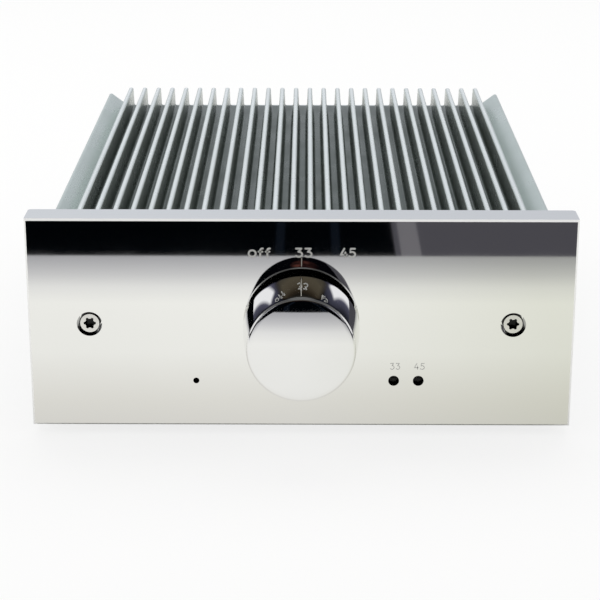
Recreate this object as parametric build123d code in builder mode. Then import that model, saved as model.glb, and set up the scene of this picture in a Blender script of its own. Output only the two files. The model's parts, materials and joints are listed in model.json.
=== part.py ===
from build123d import *
from math import cos, radians, sin
import os

# Turntable motor supply: a mirror-polished front panel, a case closed by a finned
# heatsink, a three-position speed selector and two speed trimmers.
# Millimetres. +X is to the right seen from the front, +Y runs to the rear, +Z is up.
# The origin is the middle of the footprint of the whole object, on the ground.

# ------------------------------------------------------------------ front panel
panel_width = 220.0
panel_height = 88.0
panel_thickness = 14.0
panel_bevel = 0.8            # bevel round the front face
panel_end_radius = 1.5       # upright rear edges
panel_ground_gap = 4.0       # ground to the panel's lower edge
panel_web = 4.0              # metal left in front of the rear pocket
pocket_margin = 3.0          # pocket edge to the control board
pocket_corner_radius = 5.0

# ------------------------------------------------------------------ case
case_width = 202.0
case_depth = 228.0
foot_height = 6.0            # ground to the underside of the base plate
foot_radius = 10.0
foot_inset = 26.0            # foot centre from the nearest case faces
foot_bevel = 0.8
foot_screw_depth = 3.0       # seat of the foot screw above the ground
wall_thickness = 4.0
flange_width = 15.0          # side wall flanges, measured from the outer face
flange_thickness = 4.0
screw_port_radius = 5.5
screw_port_inset = 15.65     # screw port centre from the case's outer face
base_thickness = 3.0
rear_panel_thickness = 3.0
rear_panel_bevel = 0.4
fit_gap = 0.2                # loose fit between case parts
thread_gap = 0.05            # round a screw in its hole
vent_slot_length = 40.0
vent_slot_width = 3.0
vent_slot_count = 6
vent_slot_pitch = 9.0
wall_screw_shares = (0.08, 0.5, 0.92)   # along the case depth

# ------------------------------------------------------------------ heatsink
fin_count = 26
fin_pitch = 7.15
fin_height = 9.5
fin_tip_thickness = 2.3
fin_root_thickness = 3.0
fin_tip_radius = 1.0
fin_root_radius = 1.2
heatsink_plate = 5.5         # metal below the channels
shoulder_height = 7.5        # outer shoulder above the channels
shoulder_dip = 2.0           # lowest line of the shoulder above the channels
shoulder_dip_offset = 4.4    # that line from the middle of the outer fin
shoulder_radius = 1.2
blind_hole_floor = 1.5       # metal left above a threaded blind hole
blind_hole_spare = 0.5       # screw end to the bottom of its hole

# ------------------------------------------------------------------ selector
selector_height = 42.8       # knob axis above the panel's lower edge
knob_rear_radius = 23.5
knob_front_radius = 21.3     # the knob narrows towards its face
knob_reach = 27.5            # middle of the knob's domed face from the panel
knob_dome = 0.35             # rise of the face
knob_edge_radius = 1.1
knob_rear_bevel = 0.4
knob_gap = 5.3               # knob to panel
knob_recess_radius = 11.0
knob_recess_depth = 7.5      # recess floor from the panel
knob_line_margin = 1.5       # index line to the knob's rear and to its rim
knob_line_width = 0.8
knob_line_depth = 0.4
selector_step = 36.0         # degrees between off, 33 and 45
spindle_radius = 3.0
spindle_reach = 20.0         # spindle end from the panel
spindle_gap = 0.05           # running clearance of the spindle
spindle_flat = 0.5           # depth of the flat under the grub screw
grub_radius = 2.0
grub_length = 8.0
grub_station = 12.5          # grub screw from the panel
bush_radius = 5.0
bush_reach = 5.0             # bush end from the panel's front face
switch_nut_width = 14.0
switch_nut_height = 2.5
switch_washer_radius = 8.5
switch_washer_thickness = 0.7
switch_radius = 14.0
switch_depth = 12.0
switch_wall = 1.5
switch_rotor_radius = 9.0
switch_rotor_thickness = 3.0
switch_play = 0.4            # rotor to housing
switch_board_gap = 1.0       # housing to the control board
detent_ball_radius = 1.25
detent_gap = 0.3             # rotor's rim to the ball's inner side
detent_play = 0.02           # ball to spring
detent_spring_gap = 0.1      # spring to the housing's bore
detent_spring_drop = 4.7     # how far the spring's ends reach down
terminal_radius = 0.5
terminal_circle = 9.5
solder_tail = 1.0            # leads behind the control board
terminal_count = 6

# ------------------------------------------------------------------ lamp and trimmers
lamp_offset = -42.7          # across, from the panel's middle
lamp_height = 19.7           # above the panel's lower edge
lamp_hole_radius = 1.25
lamp_radius = 1.0
lamp_recess = 1.6            # lamp tip behind the panel's face
lamp_tip_radius = 0.8
lamp_setback = 3.0           # lamp flange behind the pocket's floor
lamp_leg_radius = 0.25
lamp_leg_offset = 0.65
lamp_leg_gap = 0.1
lamp_spacer_wall = 0.5       # beyond the lamp's flange
lamp_flange_radius = 1.9
lamp_flange_thickness = 1.0
trimmer_offsets = (37.6, 47.6)
trimmer_height = 19.8
trimmer_hole_radius = 2.2
trimmer_shaft_radius = 1.75
trimmer_recess = 3.5         # rotor end behind the panel's face
trimmer_size = 9.0
trimmer_corner_radius = 0.6
trimmer_depth = 5.5
trimmer_slot_width = 0.6
trimmer_slot_depth = 0.8
trimmer_collar_radius = 2.5
trimmer_play = 0.1

# ------------------------------------------------------------------ fasteners
panel_screw_radius = 2.5
panel_screw_length = 22.0
panel_screw_head_radius = 4.2
panel_screw_head_height = 4.4
panel_screw_seat_radius = 5.1
panel_screw_seat_depth = 5.4
panel_screw_recess_radius = 1.9
panel_screw_lobe_radius = 0.6
panel_screw_recess_depth = 2.6
panel_screw_bevel = 0.35
small_screw_radius = 1.5
small_screw_head_radius = 2.8
small_screw_head_height = 1.7
small_screw_slot = 0.8
small_screw_length = 6.0
small_nut_width = 5.5
small_nut_height = 2.4
nut_overhang = 0.5           # screw end beyond its nut

# ------------------------------------------------------------------ boards
board_thickness = 1.6
board_corner_radius = 2.0
pillar_radius = 2.75
board_width = 150.0          # the power and amplifier boards are equally wide
power_board_length = 150.0
power_pillar_height = 8.0
power_board_rear_gap = 4.0   # board edge to the rear panel
amplifier_board_length = 120.0
amplifier_pillar_height = 14.0
amplifier_board_rear_gap = 4.0
control_board_width = 118.0
control_board_height = 54.0
control_board_lift = 9.5     # its lower edge above the panel's lower edge
control_board_shift = 4.0    # its middle, across, from the panel's middle
control_header_shift = 34.0  # its ribbon header, across, from the panel's middle
pillar_inset = 5.0           # pillar centre from the board's edges
header_width = 22.0
header_depth = 6.0
header_height = 9.0
ribbon_width = 19.0
ribbon_thickness = 0.9
ribbon_bend_radius = 4.0
ribbon_sag = 14.0
ribbon_lead = 14.0           # straight run at each header

# ------------------------------------------------------------------ parts on the boards
transformer_depth = 62.0
transformer_height = 34.0
transformer_edge_radius = 3.0
transformer_margin = 6.0     # from the power board's side edges
transformer_gap = 12.0       # to the capacitors beside it
mains_front_margin = 16.0    # transformer from the power board's front edge
capacitor_radius = 11.0
capacitor_height = 32.0
capacitor_pitch = 26.0
capacitor_rim = 1.2
rectifier_width = 20.0
rectifier_depth = 5.0
rectifier_height = 14.0
rectifier_corner_radius = 0.8
fuse_radius = 2.6
fuse_length = 20.0
fuse_clip_width = 6.0
fuse_clip_height = 7.5
fuse_clip_wall = 1.0
fuse_inlet_gap = 20.0        # fuse to the mains inlet's body
transistor_width = 10.2
transistor_tab_length = 15.2
transistor_tab_thickness = 1.3
transistor_hole_inset = 2.9
transistor_body_length = 9.2
transistor_body_thickness = 4.4
transistor_leg_width = 0.9
transistor_leg_pitch = 2.54
transistor_leg_thickness = 0.6
transistor_leg_reach = 4.0
transistor_pitch = 24.0
transistor_count = 4
transistor_pad_thickness = 0.3
transistor_pad_margin = 1.0
chip_length = 26.0
chip_width = 7.6
chip_height = 3.4
chip_leg_count = 10
chip_leg_reach = 1.0
chip_standoff = 0.6
crystal_length = 11.0
crystal_width = 4.6
crystal_height = 3.6
film_capacitor_length = 18.0
film_capacitor_width = 7.0
film_capacitor_height = 12.0
film_capacitor_pitch = 12.0
film_capacitor_count = 4
film_capacitor_margin = 10.0  # from the amplifier board's edge
film_capacitor_corner = 1.0

# ------------------------------------------------------------------ rear sockets
inlet_screw_gap = 1.5        # body to the board screw's head beside it
inlet_flange_width = 50.0
inlet_flange_height = 28.0
inlet_flange_thickness = 3.0
inlet_body_width = 27.4
inlet_body_height = 20.4
inlet_body_depth = 20.0
inlet_cavity_width = 24.6
inlet_cavity_height = 16.8
inlet_cavity_depth = 16.0
inlet_corner_cut = 5.0
inlet_screw_spacing = 40.0
inlet_pin_width = 4.0
inlet_pin_thickness = 2.0
inlet_pin_length = 13.0
inlet_pin_spacing = 7.0
inlet_pin_drop = 2.0
inlet_tail = 3.0             # pins behind the body, down to the board
inlet_board_gap = 0.3        # body to the power board
outlet_thread_radius = 8.0
outlet_bore_radius = 6.4
outlet_reach = 9.0           # thread behind the rear panel
outlet_body_radius = 9.0
outlet_body_depth = 8.0
outlet_nut_width = 19.0
outlet_nut_height = 2.5
outlet_cavity_depth = 9.0
outlet_pin_radius = 0.75
outlet_pin_circle = 4.0
outlet_pin_length = 7.0
outlet_pin_count = 4
outlet_tail = 2.5            # pitch of the two rows of pins behind the body
outlet_bevel = 0.5
outlet_board_gap = 0.4       # socket body to the amplifier board
earth_strap_width = 8.0
earth_strap_thickness = 0.8
earth_screw_inset = 10.0     # from the rear panel

# ------------------------------------------------------------------ levels and stations
panel_bottom = panel_ground_gap
panel_top = panel_bottom + panel_height
case_bottom = foot_height
case_floor = case_bottom + base_thickness
fin_tip_level = panel_top
channel_level = fin_tip_level - fin_height
heatsink_underside = channel_level - heatsink_plate
screw_level = panel_bottom + panel_height / 2
selector_level = panel_bottom + selector_height
lamp_level = panel_bottom + lamp_height
trimmer_level = panel_bottom + trimmer_height

rear_reach = max(outlet_reach, inlet_flange_thickness + small_screw_head_height)
total_depth = knob_reach + panel_thickness + case_depth + rear_panel_thickness + rear_reach
panel_front = knob_reach - total_depth / 2
panel_back = panel_front + panel_thickness
case_back = panel_back + case_depth
rear_face = case_back + rear_panel_thickness
pocket_floor = panel_front + panel_web

half_case = case_width / 2
screw_port_offset = half_case - screw_port_inset
inner_half = half_case - wall_thickness
control_front = pocket_floor + switch_depth + switch_board_gap
control_back = control_front + board_thickness
control_bottom = panel_bottom + control_board_lift
control_top = control_bottom + control_board_height
control_middle = (control_bottom + control_top) / 2
power_board_level = case_floor + power_pillar_height
power_top = power_board_level + board_thickness
power_back = case_back - power_board_rear_gap
power_middle = power_back - power_board_length / 2
amplifier_top = heatsink_underside - amplifier_pillar_height
amplifier_bottom = amplifier_top - board_thickness
amplifier_back = case_back - amplifier_board_rear_gap
amplifier_middle = amplifier_back - amplifier_board_length / 2
inlet_level = power_top + inlet_body_height / 2 + inlet_board_gap
board_screw_inner_edge = board_width / 2 - pillar_inset - small_screw_head_radius
inlet_offset = inlet_screw_gap + inlet_body_width / 2 - board_screw_inner_edge
outlet_offset = -inlet_offset
outlet_level = amplifier_bottom - outlet_body_radius - outlet_board_gap

os.makedirs("parts", exist_ok=True)


def facing_front(y):
    """Sketch plane at depth y, seen from the front: local x is X, local y is Z."""
    return Plane(origin=(0, y, 0), x_dir=(1, 0, 0), z_dir=(0, -1, 0))


def facing_side(x):
    """Sketch plane at x, seen from the right: local x is Y, local y is Z."""
    return Plane(origin=(x, 0, 0), x_dir=(0, 1, 0), z_dir=(1, 0, 0))


def corner_spots(width, length, inset, middle_y=0.0):
    """Four (x, y) spots set in from the corners of a rectangle."""
    x = width / 2 - inset
    y = length / 2 - inset
    return [(sx * x, middle_y + sy * y) for sx in (-1, 1) for sy in (-1, 1)]


# ================================================================== case
control_pillar_spots = [
    (control_board_shift + sx * (control_board_width / 2 - pillar_inset),
     control_middle + sz * (control_board_height / 2 - pillar_inset))
    for sx in (-1, 1) for sz in (-1, 1)
]
panel_screw_spots = [(-screw_port_offset, screw_level), (screw_port_offset, screw_level)]
trimmer_spots = [(offset, trimmer_level) for offset in trimmer_offsets]

with BuildPart() as front_panel:
    with BuildSketch(facing_front(panel_front)):
        with Locations((0, panel_bottom + panel_height / 2)):
            Rectangle(panel_width, panel_height)
    extrude(amount=-panel_thickness)
    chamfer(front_panel.faces().sort_by(Axis.Y)[0].edges(), panel_bevel)
    rear_edges = front_panel.edges().filter_by(Axis.Z).group_by(Axis.Y)[-1]
    fillet(rear_edges, panel_end_radius)
    # pocket behind the controls
    with BuildSketch(facing_front(panel_back)):
        with Locations((control_board_shift, control_middle)):
            RectangleRounded(control_board_width + 2 * pocket_margin,
                             control_board_height + 2 * pocket_margin, pocket_corner_radius)
    extrude(amount=panel_thickness - panel_web, mode=Mode.SUBTRACT)
    # seats and holes of the two panel screws
    with BuildSketch(facing_front(panel_front)):
        with Locations(*panel_screw_spots):
            Circle(panel_screw_seat_radius)
    extrude(amount=-panel_screw_seat_depth, mode=Mode.SUBTRACT)
    with BuildSketch(facing_front(panel_front)):
        with Locations(*panel_screw_spots):
            Circle(panel_screw_radius + fit_gap)
        with Locations((0, selector_level)):
            Circle(bush_radius + fit_gap)
        with Locations((lamp_offset, lamp_level)):
            Circle(lamp_hole_radius)
        with Locations(*trimmer_spots):
            Circle(trimmer_hole_radius)
    extrude(amount=-panel_thickness, mode=Mode.SUBTRACT)
front_panel.part.label = "front_panel"
export_step(front_panel.part, "parts/front_panel.step")

outer_fin = fin_pitch * (fin_count - 1) / 2
shoulder_level = channel_level + shoulder_height
dip_level = channel_level + shoulder_dip
half_root = fin_root_thickness / 2
half_tip = fin_tip_thickness / 2
wall_screw_offset = half_case - flange_width / 2
wall_screw_stations = [panel_back + case_depth * share for share in wall_screw_shares]
wall_screw_spots = [(side * wall_screw_offset, y) for side in (-1, 1) for y in wall_screw_stations]
transistor_row = amplifier_middle
transistor_hole_y = transistor_row - transistor_tab_length / 2 + transistor_hole_inset
transistor_spots = [
    ((index - (transistor_count - 1) / 2) * transistor_pitch, transistor_hole_y)
    for index in range(transistor_count)
]
amplifier_pillar_spots = corner_spots(board_width, amplifier_board_length, pillar_inset,
                                      amplifier_middle)


def heatsink_outline():
    """Corner points of the extruded section, counter-clockwise from the lower left."""
    points = [(-half_case, heatsink_underside), (half_case, heatsink_underside),
              (half_case, shoulder_level)]
    points.append((outer_fin + shoulder_dip_offset, dip_level))
    for index in reversed(range(fin_count)):
        middle = (index - (fin_count - 1) / 2) * fin_pitch
        right_root = dip_level if index == fin_count - 1 else channel_level
        left_root = dip_level if index == 0 else channel_level
        points.append((middle + half_root, right_root))
        points.append((middle + half_tip, fin_tip_level))
        points.append((middle - half_tip, fin_tip_level))
        points.append((middle - half_root, left_root))
    points.append((-outer_fin - shoulder_dip_offset, dip_level))
    points.append((-half_case, shoulder_level))
    return points


with BuildPart() as heatsink:
    with BuildSketch(facing_front(panel_back)) as section:
        with BuildLine():
            Polyline(*heatsink_outline(), close=True)
        make_face()
        for level, radius in ((fin_tip_level, fin_tip_radius), (channel_level, fin_root_radius),
                              (shoulder_level, shoulder_radius)):
            fillet(section.vertices().filter_by(lambda v: abs(v.Y - level) < 0.01), radius)
    extrude(amount=-case_depth)
    with BuildSketch(Plane.XY.offset(heatsink_underside)):
        with Locations(*wall_screw_spots, *transistor_spots, *amplifier_pillar_spots):
            Circle(small_screw_radius + thread_gap)
    extrude(amount=heatsink_plate - blind_hole_floor, mode=Mode.SUBTRACT)
heatsink.part.label = "heatsink"
export_step(heatsink.part, "parts/heatsink.step")

base_width = 2 * (inner_half - fit_gap)
wall_base = case_bottom
base_screw_spots = wall_screw_spots


def side_wall(side):
    """Extruded side wall: web, two flanges and a screw port on the panel screw's line."""
    outer = side * half_case
    with BuildPart() as wall:
        with BuildSketch(facing_front(panel_back)):
            with Locations((outer - side * wall_thickness / 2, (wall_base + heatsink_underside) / 2)):
                Rectangle(wall_thickness, heatsink_underside - wall_base)
            for level in (case_floor + flange_thickness / 2, heatsink_underside - flange_thickness / 2):
                with Locations((outer - side * flange_width / 2, level)):
                    Rectangle(flange_width, flange_thickness)
            with Locations((side * (half_case - screw_port_inset / 2), screw_level)):
                Rectangle(screw_port_inset, wall_thickness)
            with Locations((side * screw_port_offset, screw_level)):
                Circle(screw_port_radius)
                Circle(panel_screw_radius + thread_gap, mode=Mode.SUBTRACT)
        extrude(amount=-case_depth)
        with BuildSketch(Plane.XY.offset(case_floor)):
            with Locations(*[spot for spot in wall_screw_spots if spot[0] * side > 0]):
                Circle(small_screw_radius + thread_gap)
        extrude(amount=flange_thickness, mode=Mode.SUBTRACT)
        with BuildSketch(Plane.XY.offset(heatsink_underside - flange_thickness)):
            with Locations(*[spot for spot in wall_screw_spots if spot[0] * side > 0]):
                Circle(small_screw_radius + fit_gap)
        extrude(amount=flange_thickness, mode=Mode.SUBTRACT)
    return wall


left_wall = side_wall(-1)
left_wall.part.label = "left_wall"
export_step(left_wall.part, "parts/left_wall.step")

right_wall = side_wall(1)
right_wall.part.label = "right_wall"
export_step(right_wall.part, "parts/right_wall.step")

foot_spots = corner_spots(case_width, case_depth, foot_inset, panel_back + case_depth / 2)
power_pillar_spots = corner_spots(board_width, power_board_length, pillar_inset, power_middle)
vent_middle = (panel_back + power_middle - power_board_length / 2) / 2
strap_x = inlet_offset + inlet_screw_spacing / 2
strap_hole = (strap_x, case_back - earth_screw_inset)

with BuildPart() as base_plate:
    with BuildSketch(Plane.XY.offset(case_bottom)):
        with Locations((0, panel_back + case_depth / 2)):
            Rectangle(base_width, case_depth - 2 * fit_gap)
        with Locations(*base_screw_spots, *foot_spots, *power_pillar_spots, strap_hole):
            Circle(small_screw_radius + fit_gap, mode=Mode.SUBTRACT)
        with Locations((0, vent_middle)):
            with GridLocations(0, vent_slot_pitch, 1, vent_slot_count):
                SlotOverall(vent_slot_length, vent_slot_width, mode=Mode.SUBTRACT)
    extrude(amount=base_thickness)
base_plate.part.label = "base_plate"
export_step(base_plate.part, "parts/base_plate.step")

inlet_screw_spots = [(inlet_offset + side * inlet_screw_spacing / 2, inlet_level) for side in (-1, 1)]
rear_top = channel_level - fit_gap

with BuildPart() as rear_panel:
    with BuildSketch(facing_front(case_back)):
        with Locations((0, (case_bottom + rear_top) / 2)):
            RectangleRounded(case_width, rear_top - case_bottom, panel_end_radius)
        with Locations(*panel_screw_spots):
            Circle(panel_screw_radius + fit_gap, mode=Mode.SUBTRACT)
        with Locations(*inlet_screw_spots):
            Circle(small_screw_radius + fit_gap, mode=Mode.SUBTRACT)
        with Locations((inlet_offset, inlet_level)):
            Rectangle(inlet_body_width + 2 * fit_gap, inlet_body_height + 2 * fit_gap, mode=Mode.SUBTRACT)
        with Locations((outlet_offset, outlet_level)):
            Circle(outlet_thread_radius + fit_gap, mode=Mode.SUBTRACT)
    extrude(amount=-rear_panel_thickness)
    chamfer(rear_panel.faces().sort_by(Axis.Y)[-1].outer_wire().edges(), rear_panel_bevel)
rear_panel.part.label = "rear_panel"
export_step(rear_panel.part, "parts/rear_panel.step")

with BuildPart() as feet:
    with BuildSketch():
        with Locations(*foot_spots):
            Circle(foot_radius)
    extrude(amount=foot_height)
    chamfer(feet.faces().group_by(Axis.Z)[0].edges(), foot_bevel)
    with BuildSketch():
        with Locations(*foot_spots):
            Circle(small_screw_radius + fit_gap)
    extrude(amount=foot_height, mode=Mode.SUBTRACT)
    with BuildSketch():
        with Locations(*foot_spots):
            Circle(small_screw_head_radius + 2 * fit_gap)
    extrude(amount=foot_screw_depth, mode=Mode.SUBTRACT)
feet.part.label = "feet"
export_step(feet.part, "parts/feet.step")


# ================================================================== fasteners
def upright_screws(spots, seat, length, head_side):
    """Slotted M3 screws along Z: the head sits at level seat, on the side head_side of it."""
    with BuildPart() as screws:
        with BuildSketch(Plane.XY.offset(seat)):
            with Locations(*spots):
                Circle(small_screw_head_radius)
        extrude(amount=head_side * small_screw_head_height)
        with BuildSketch(Plane.XY.offset(seat)):
            with Locations(*spots):
                Circle(small_screw_radius)
        extrude(amount=-head_side * length)
        with BuildSketch(Plane.XY.offset(seat + head_side * small_screw_head_height)):
            with Locations(*spots):
                Rectangle(2 * small_screw_head_radius, small_screw_slot)
        extrude(amount=-head_side * small_screw_head_height / 2, mode=Mode.SUBTRACT)
    return screws


foot_screw_length = case_floor + small_nut_height + nut_overhang - foot_screw_depth
foot_screws = upright_screws(foot_spots, foot_screw_depth, foot_screw_length, -1)
foot_screws.part.label = "foot_screws"
export_step(foot_screws.part, "parts/foot_screws.step")

base_screws = upright_screws(base_screw_spots + power_pillar_spots, case_bottom, small_screw_length, -1)
base_screws.part.label = "base_screws"
export_step(base_screws.part, "parts/base_screws.step")

screw_bite = heatsink_plate - blind_hole_floor - blind_hole_spare
heatsink_screws = upright_screws(wall_screw_spots, heatsink_underside - flange_thickness,
                                 flange_thickness + screw_bite, -1)
heatsink_screws.part.label = "heatsink_screws"
export_step(heatsink_screws.part, "parts/heatsink_screws.step")


def panel_screw_pair(seat, toward_rear):
    """Two six-lobe socket screws along Y; the shank runs toward the rear or the front."""
    run = -panel_screw_length if toward_rear else panel_screw_length
    rise = panel_screw_head_height if toward_rear else -panel_screw_head_height
    dig = -panel_screw_recess_depth if toward_rear else panel_screw_recess_depth
    head_face = seat - rise
    with BuildPart() as screws:
        with BuildSketch(facing_front(seat)):
            with Locations(*panel_screw_spots):
                Circle(panel_screw_head_radius)
        extrude(amount=rise)
        outer = screws.faces().sort_by(Axis.Y)[:2] if toward_rear else screws.faces().sort_by(Axis.Y)[-2:]
        chamfer(outer.edges(), panel_screw_bevel)
        with BuildSketch(facing_front(seat)):
            with Locations(*panel_screw_spots):
                Circle(panel_screw_radius)
        extrude(amount=run)
        with BuildSketch(facing_front(head_face)):
            with Locations(*panel_screw_spots):
                Circle(panel_screw_recess_radius)
                with PolarLocations(panel_screw_recess_radius, 6):
                    Circle(panel_screw_lobe_radius)
        extrude(amount=dig, mode=Mode.SUBTRACT)
    return screws


panel_screws = panel_screw_pair(panel_front + panel_screw_seat_depth, True)
panel_screws.part.label = "panel_screws"
export_step(panel_screws.part, "parts/panel_screws.step")

rear_screws = panel_screw_pair(rear_face, False)
rear_screws.part.label = "rear_screws"
export_step(rear_screws.part, "parts/rear_screws.step")

# ================================================================== selector
selector_axis = Axis((0, 0, selector_level), (0, 1, 0))
knob_face = panel_front - knob_reach
knob_rim = knob_face + knob_dome
knob_rear = panel_front - knob_gap
recess_floor = panel_front - knob_recess_depth
bore_end = panel_front - spindle_reach - fit_gap
bore_radius = spindle_radius + thread_gap
grub_tip = selector_level - spindle_radius + spindle_flat
grub_plane = Plane(origin=(0, panel_front - grub_station, grub_tip), x_dir=(1, 0, 0), z_dir=(0, 0, -1))
flank_slope = (knob_rear_radius - knob_front_radius) / (knob_rear - knob_rim)
line_front = knob_rim + knob_edge_radius + knob_line_margin
line_rear = knob_rear - knob_rear_bevel - knob_line_margin


def flank_level(y):
    """Height of the knob's upper flank at depth y."""
    return selector_level + knob_front_radius + (y - knob_rim) * flank_slope


with BuildPart() as knob:
    with BuildSketch(facing_side(0)) as profile:
        rim_corner = (knob_rim, selector_level + knob_front_radius)
        rear_corner = (knob_rear, selector_level + knob_rear_radius)
        with BuildLine():
            TangentArc((knob_face, selector_level), rim_corner, tangent=(0, 1))
            Polyline(
                rim_corner,
                rear_corner,
                (knob_rear, selector_level + knob_recess_radius),
                (recess_floor, selector_level + knob_recess_radius),
                (recess_floor, selector_level + bore_radius),
                (bore_end, selector_level + bore_radius),
                (bore_end, selector_level),
                (knob_face, selector_level),
            )
        make_face()
        fillet(profile.vertices().sort_by_distance(rim_corner)[0], knob_edge_radius)
        chamfer(profile.vertices().sort_by_distance(rear_corner)[0], knob_rear_bevel)
    revolve(axis=selector_axis)
    # index line along the top
    with BuildSketch(facing_side(0)):
        with BuildLine():
            Polyline((line_front, flank_level(line_front) - knob_line_depth),
                     (line_front, flank_level(line_front) + knob_line_depth),
                     (line_rear, flank_level(line_rear) + knob_line_depth),
                     (line_rear, flank_level(line_rear) - knob_line_depth), close=True)
        make_face()
    extrude(amount=knob_line_width / 2, both=True, mode=Mode.SUBTRACT)
    # threaded hole of the grub screw
    with BuildSketch(grub_plane):
        Circle(grub_radius + thread_gap)
    extrude(amount=knob_rear_radius, mode=Mode.SUBTRACT)
knob.part.label = "knob"
export_step(knob.part, "parts/knob.step")

with BuildPart() as knob_grub_screw:
    with BuildSketch(grub_plane):
        Circle(grub_radius)
    extrude(amount=grub_length)
    with BuildSketch(grub_plane.offset(grub_length)):
        RegularPolygon(grub_radius / 2, 6)
    extrude(amount=-grub_length / 3, mode=Mode.SUBTRACT)
knob_grub_screw.part.label = "knob_grub_screw"
export_step(knob_grub_screw.part, "parts/knob_grub_screw.step")

cover_back = pocket_floor + switch_wall
housing_back = pocket_floor + switch_depth
rotor_front = cover_back + switch_play
spindle_end = housing_back - switch_wall - switch_play

with BuildPart() as switch_spindle:
    with BuildSketch(facing_front(panel_front - spindle_reach)):
        with Locations((0, selector_level)):
            Circle(spindle_radius)
    extrude(amount=panel_front - spindle_reach - spindle_end)
    chamfer(switch_spindle.faces().sort_by(Axis.Y)[0].edges(), spindle_flat)
    with BuildSketch(facing_front(panel_front - spindle_reach)):
        with Locations((0, grub_tip - spindle_flat)):
            Rectangle(2 * spindle_radius, 2 * spindle_flat)
    extrude(amount=knob_recess_depth - spindle_reach, mode=Mode.SUBTRACT)
switch_spindle.part.label = "switch_spindle"
export_step(switch_spindle.part, "parts/switch_spindle.step")

with BuildPart() as switch_rotor:
    with BuildSketch(facing_front(rotor_front)):
        with Locations((0, selector_level)):
            Circle(switch_rotor_radius)
            Circle(spindle_radius + thread_gap, mode=Mode.SUBTRACT)
            with PolarLocations(switch_rotor_radius + detent_ball_radius / 2, 3,
                                start_angle=90 - selector_step, angular_range=2 * selector_step,
                                endpoint=True):
                Circle(detent_ball_radius, mode=Mode.SUBTRACT)
    extrude(amount=-switch_rotor_thickness)
switch_rotor.part.label = "switch_rotor"
export_step(switch_rotor.part, "parts/switch_rotor.step")

with BuildPart() as switch_cover:
    with BuildSketch(facing_front(pocket_floor)):
        with Locations((0, selector_level)):
            Circle(switch_radius)
    extrude(amount=-switch_wall)
    with BuildSketch(facing_front(pocket_floor)):
        with Locations((0, selector_level)):
            Circle(bush_radius)
    extrude(amount=panel_web + bush_reach)
    with BuildSketch(facing_front(panel_front - bush_reach)):
        with Locations((0, selector_level)):
            Circle(spindle_radius + spindle_gap)
    extrude(amount=-(bush_reach + panel_web + switch_wall), mode=Mode.SUBTRACT)
switch_cover.part.label = "switch_cover"
export_step(switch_cover.part, "parts/switch_cover.step")

with BuildPart() as switch_housing:
    with BuildSketch(facing_front(cover_back)):
        with Locations((0, selector_level)):
            Circle(switch_radius)
    extrude(amount=switch_wall - switch_depth)
    with BuildSketch(facing_front(cover_back)):
        with Locations((0, selector_level)):
            Circle(switch_radius - switch_wall)
    extrude(amount=2 * switch_wall - switch_depth, mode=Mode.SUBTRACT)
    with BuildSketch(facing_front(housing_back)):
        with Locations((0, selector_level)):
            with PolarLocations(terminal_circle, terminal_count):
                Circle(terminal_radius + thread_gap)
    extrude(amount=switch_wall, mode=Mode.SUBTRACT)
switch_housing.part.label = "switch_housing"
export_step(switch_housing.part, "parts/switch_housing.step")

with BuildPart() as switch_terminals:
    with BuildSketch(facing_front(housing_back - switch_wall - switch_play)):
        with Locations((0, selector_level)):
            with PolarLocations(terminal_circle, terminal_count):
                Circle(terminal_radius)
    extrude(amount=housing_back - switch_wall - switch_play - control_back - solder_tail)
switch_terminals.part.label = "switch_terminals"
export_step(switch_terminals.part, "parts/switch_terminals.step")

ball_circle = switch_rotor_radius + detent_gap + detent_ball_radius
spring_outer = switch_radius - switch_wall - detent_spring_gap
spring_inner = ball_circle + detent_ball_radius + detent_play

with BuildPart() as detent_ball:
    with Locations((0, rotor_front + switch_rotor_thickness / 2, selector_level + ball_circle)):
        Sphere(detent_ball_radius)
detent_ball.part.label = "detent_ball"
export_step(detent_ball.part, "parts/detent_ball.step")

with BuildPart() as detent_spring:
    with BuildSketch(facing_front(rotor_front)):
        with Locations((0, selector_level)):
            Circle(spring_outer)
            Circle(spring_inner, mode=Mode.SUBTRACT)
        with Locations((0, selector_level + spring_inner)):
            Rectangle(2 * spring_inner, 2 * detent_spring_drop, mode=Mode.INTERSECT)
    extrude(amount=-switch_rotor_thickness)
detent_spring.part.label = "detent_spring"
export_step(detent_spring.part, "parts/detent_spring.step")

with BuildPart() as switch_washer:
    with BuildSketch(facing_front(panel_front)):
        with Locations((0, selector_level)):
            Circle(switch_washer_radius)
            Circle(bush_radius + fit_gap, mode=Mode.SUBTRACT)
    extrude(amount=switch_washer_thickness)
switch_washer.part.label = "switch_washer"
export_step(switch_washer.part, "parts/switch_washer.step")

with BuildPart() as switch_nut:
    with BuildSketch(facing_front(panel_front - switch_washer_thickness)):
        with Locations((0, selector_level)):
            RegularPolygon(switch_nut_width / 2, 6, major_radius=False)
            Circle(bush_radius + thread_gap, mode=Mode.SUBTRACT)
    extrude(amount=switch_nut_height)
switch_nut.part.label = "switch_nut"
export_step(switch_nut.part, "parts/switch_nut.step")

# ================================================================== lamp and trimmers
lamp_flange_front = pocket_floor + lamp_setback
lamp_flange_back = lamp_flange_front + lamp_flange_thickness
lamp_leg_spots = [(lamp_offset + side * lamp_leg_offset, lamp_level) for side in (-1, 1)]

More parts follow.
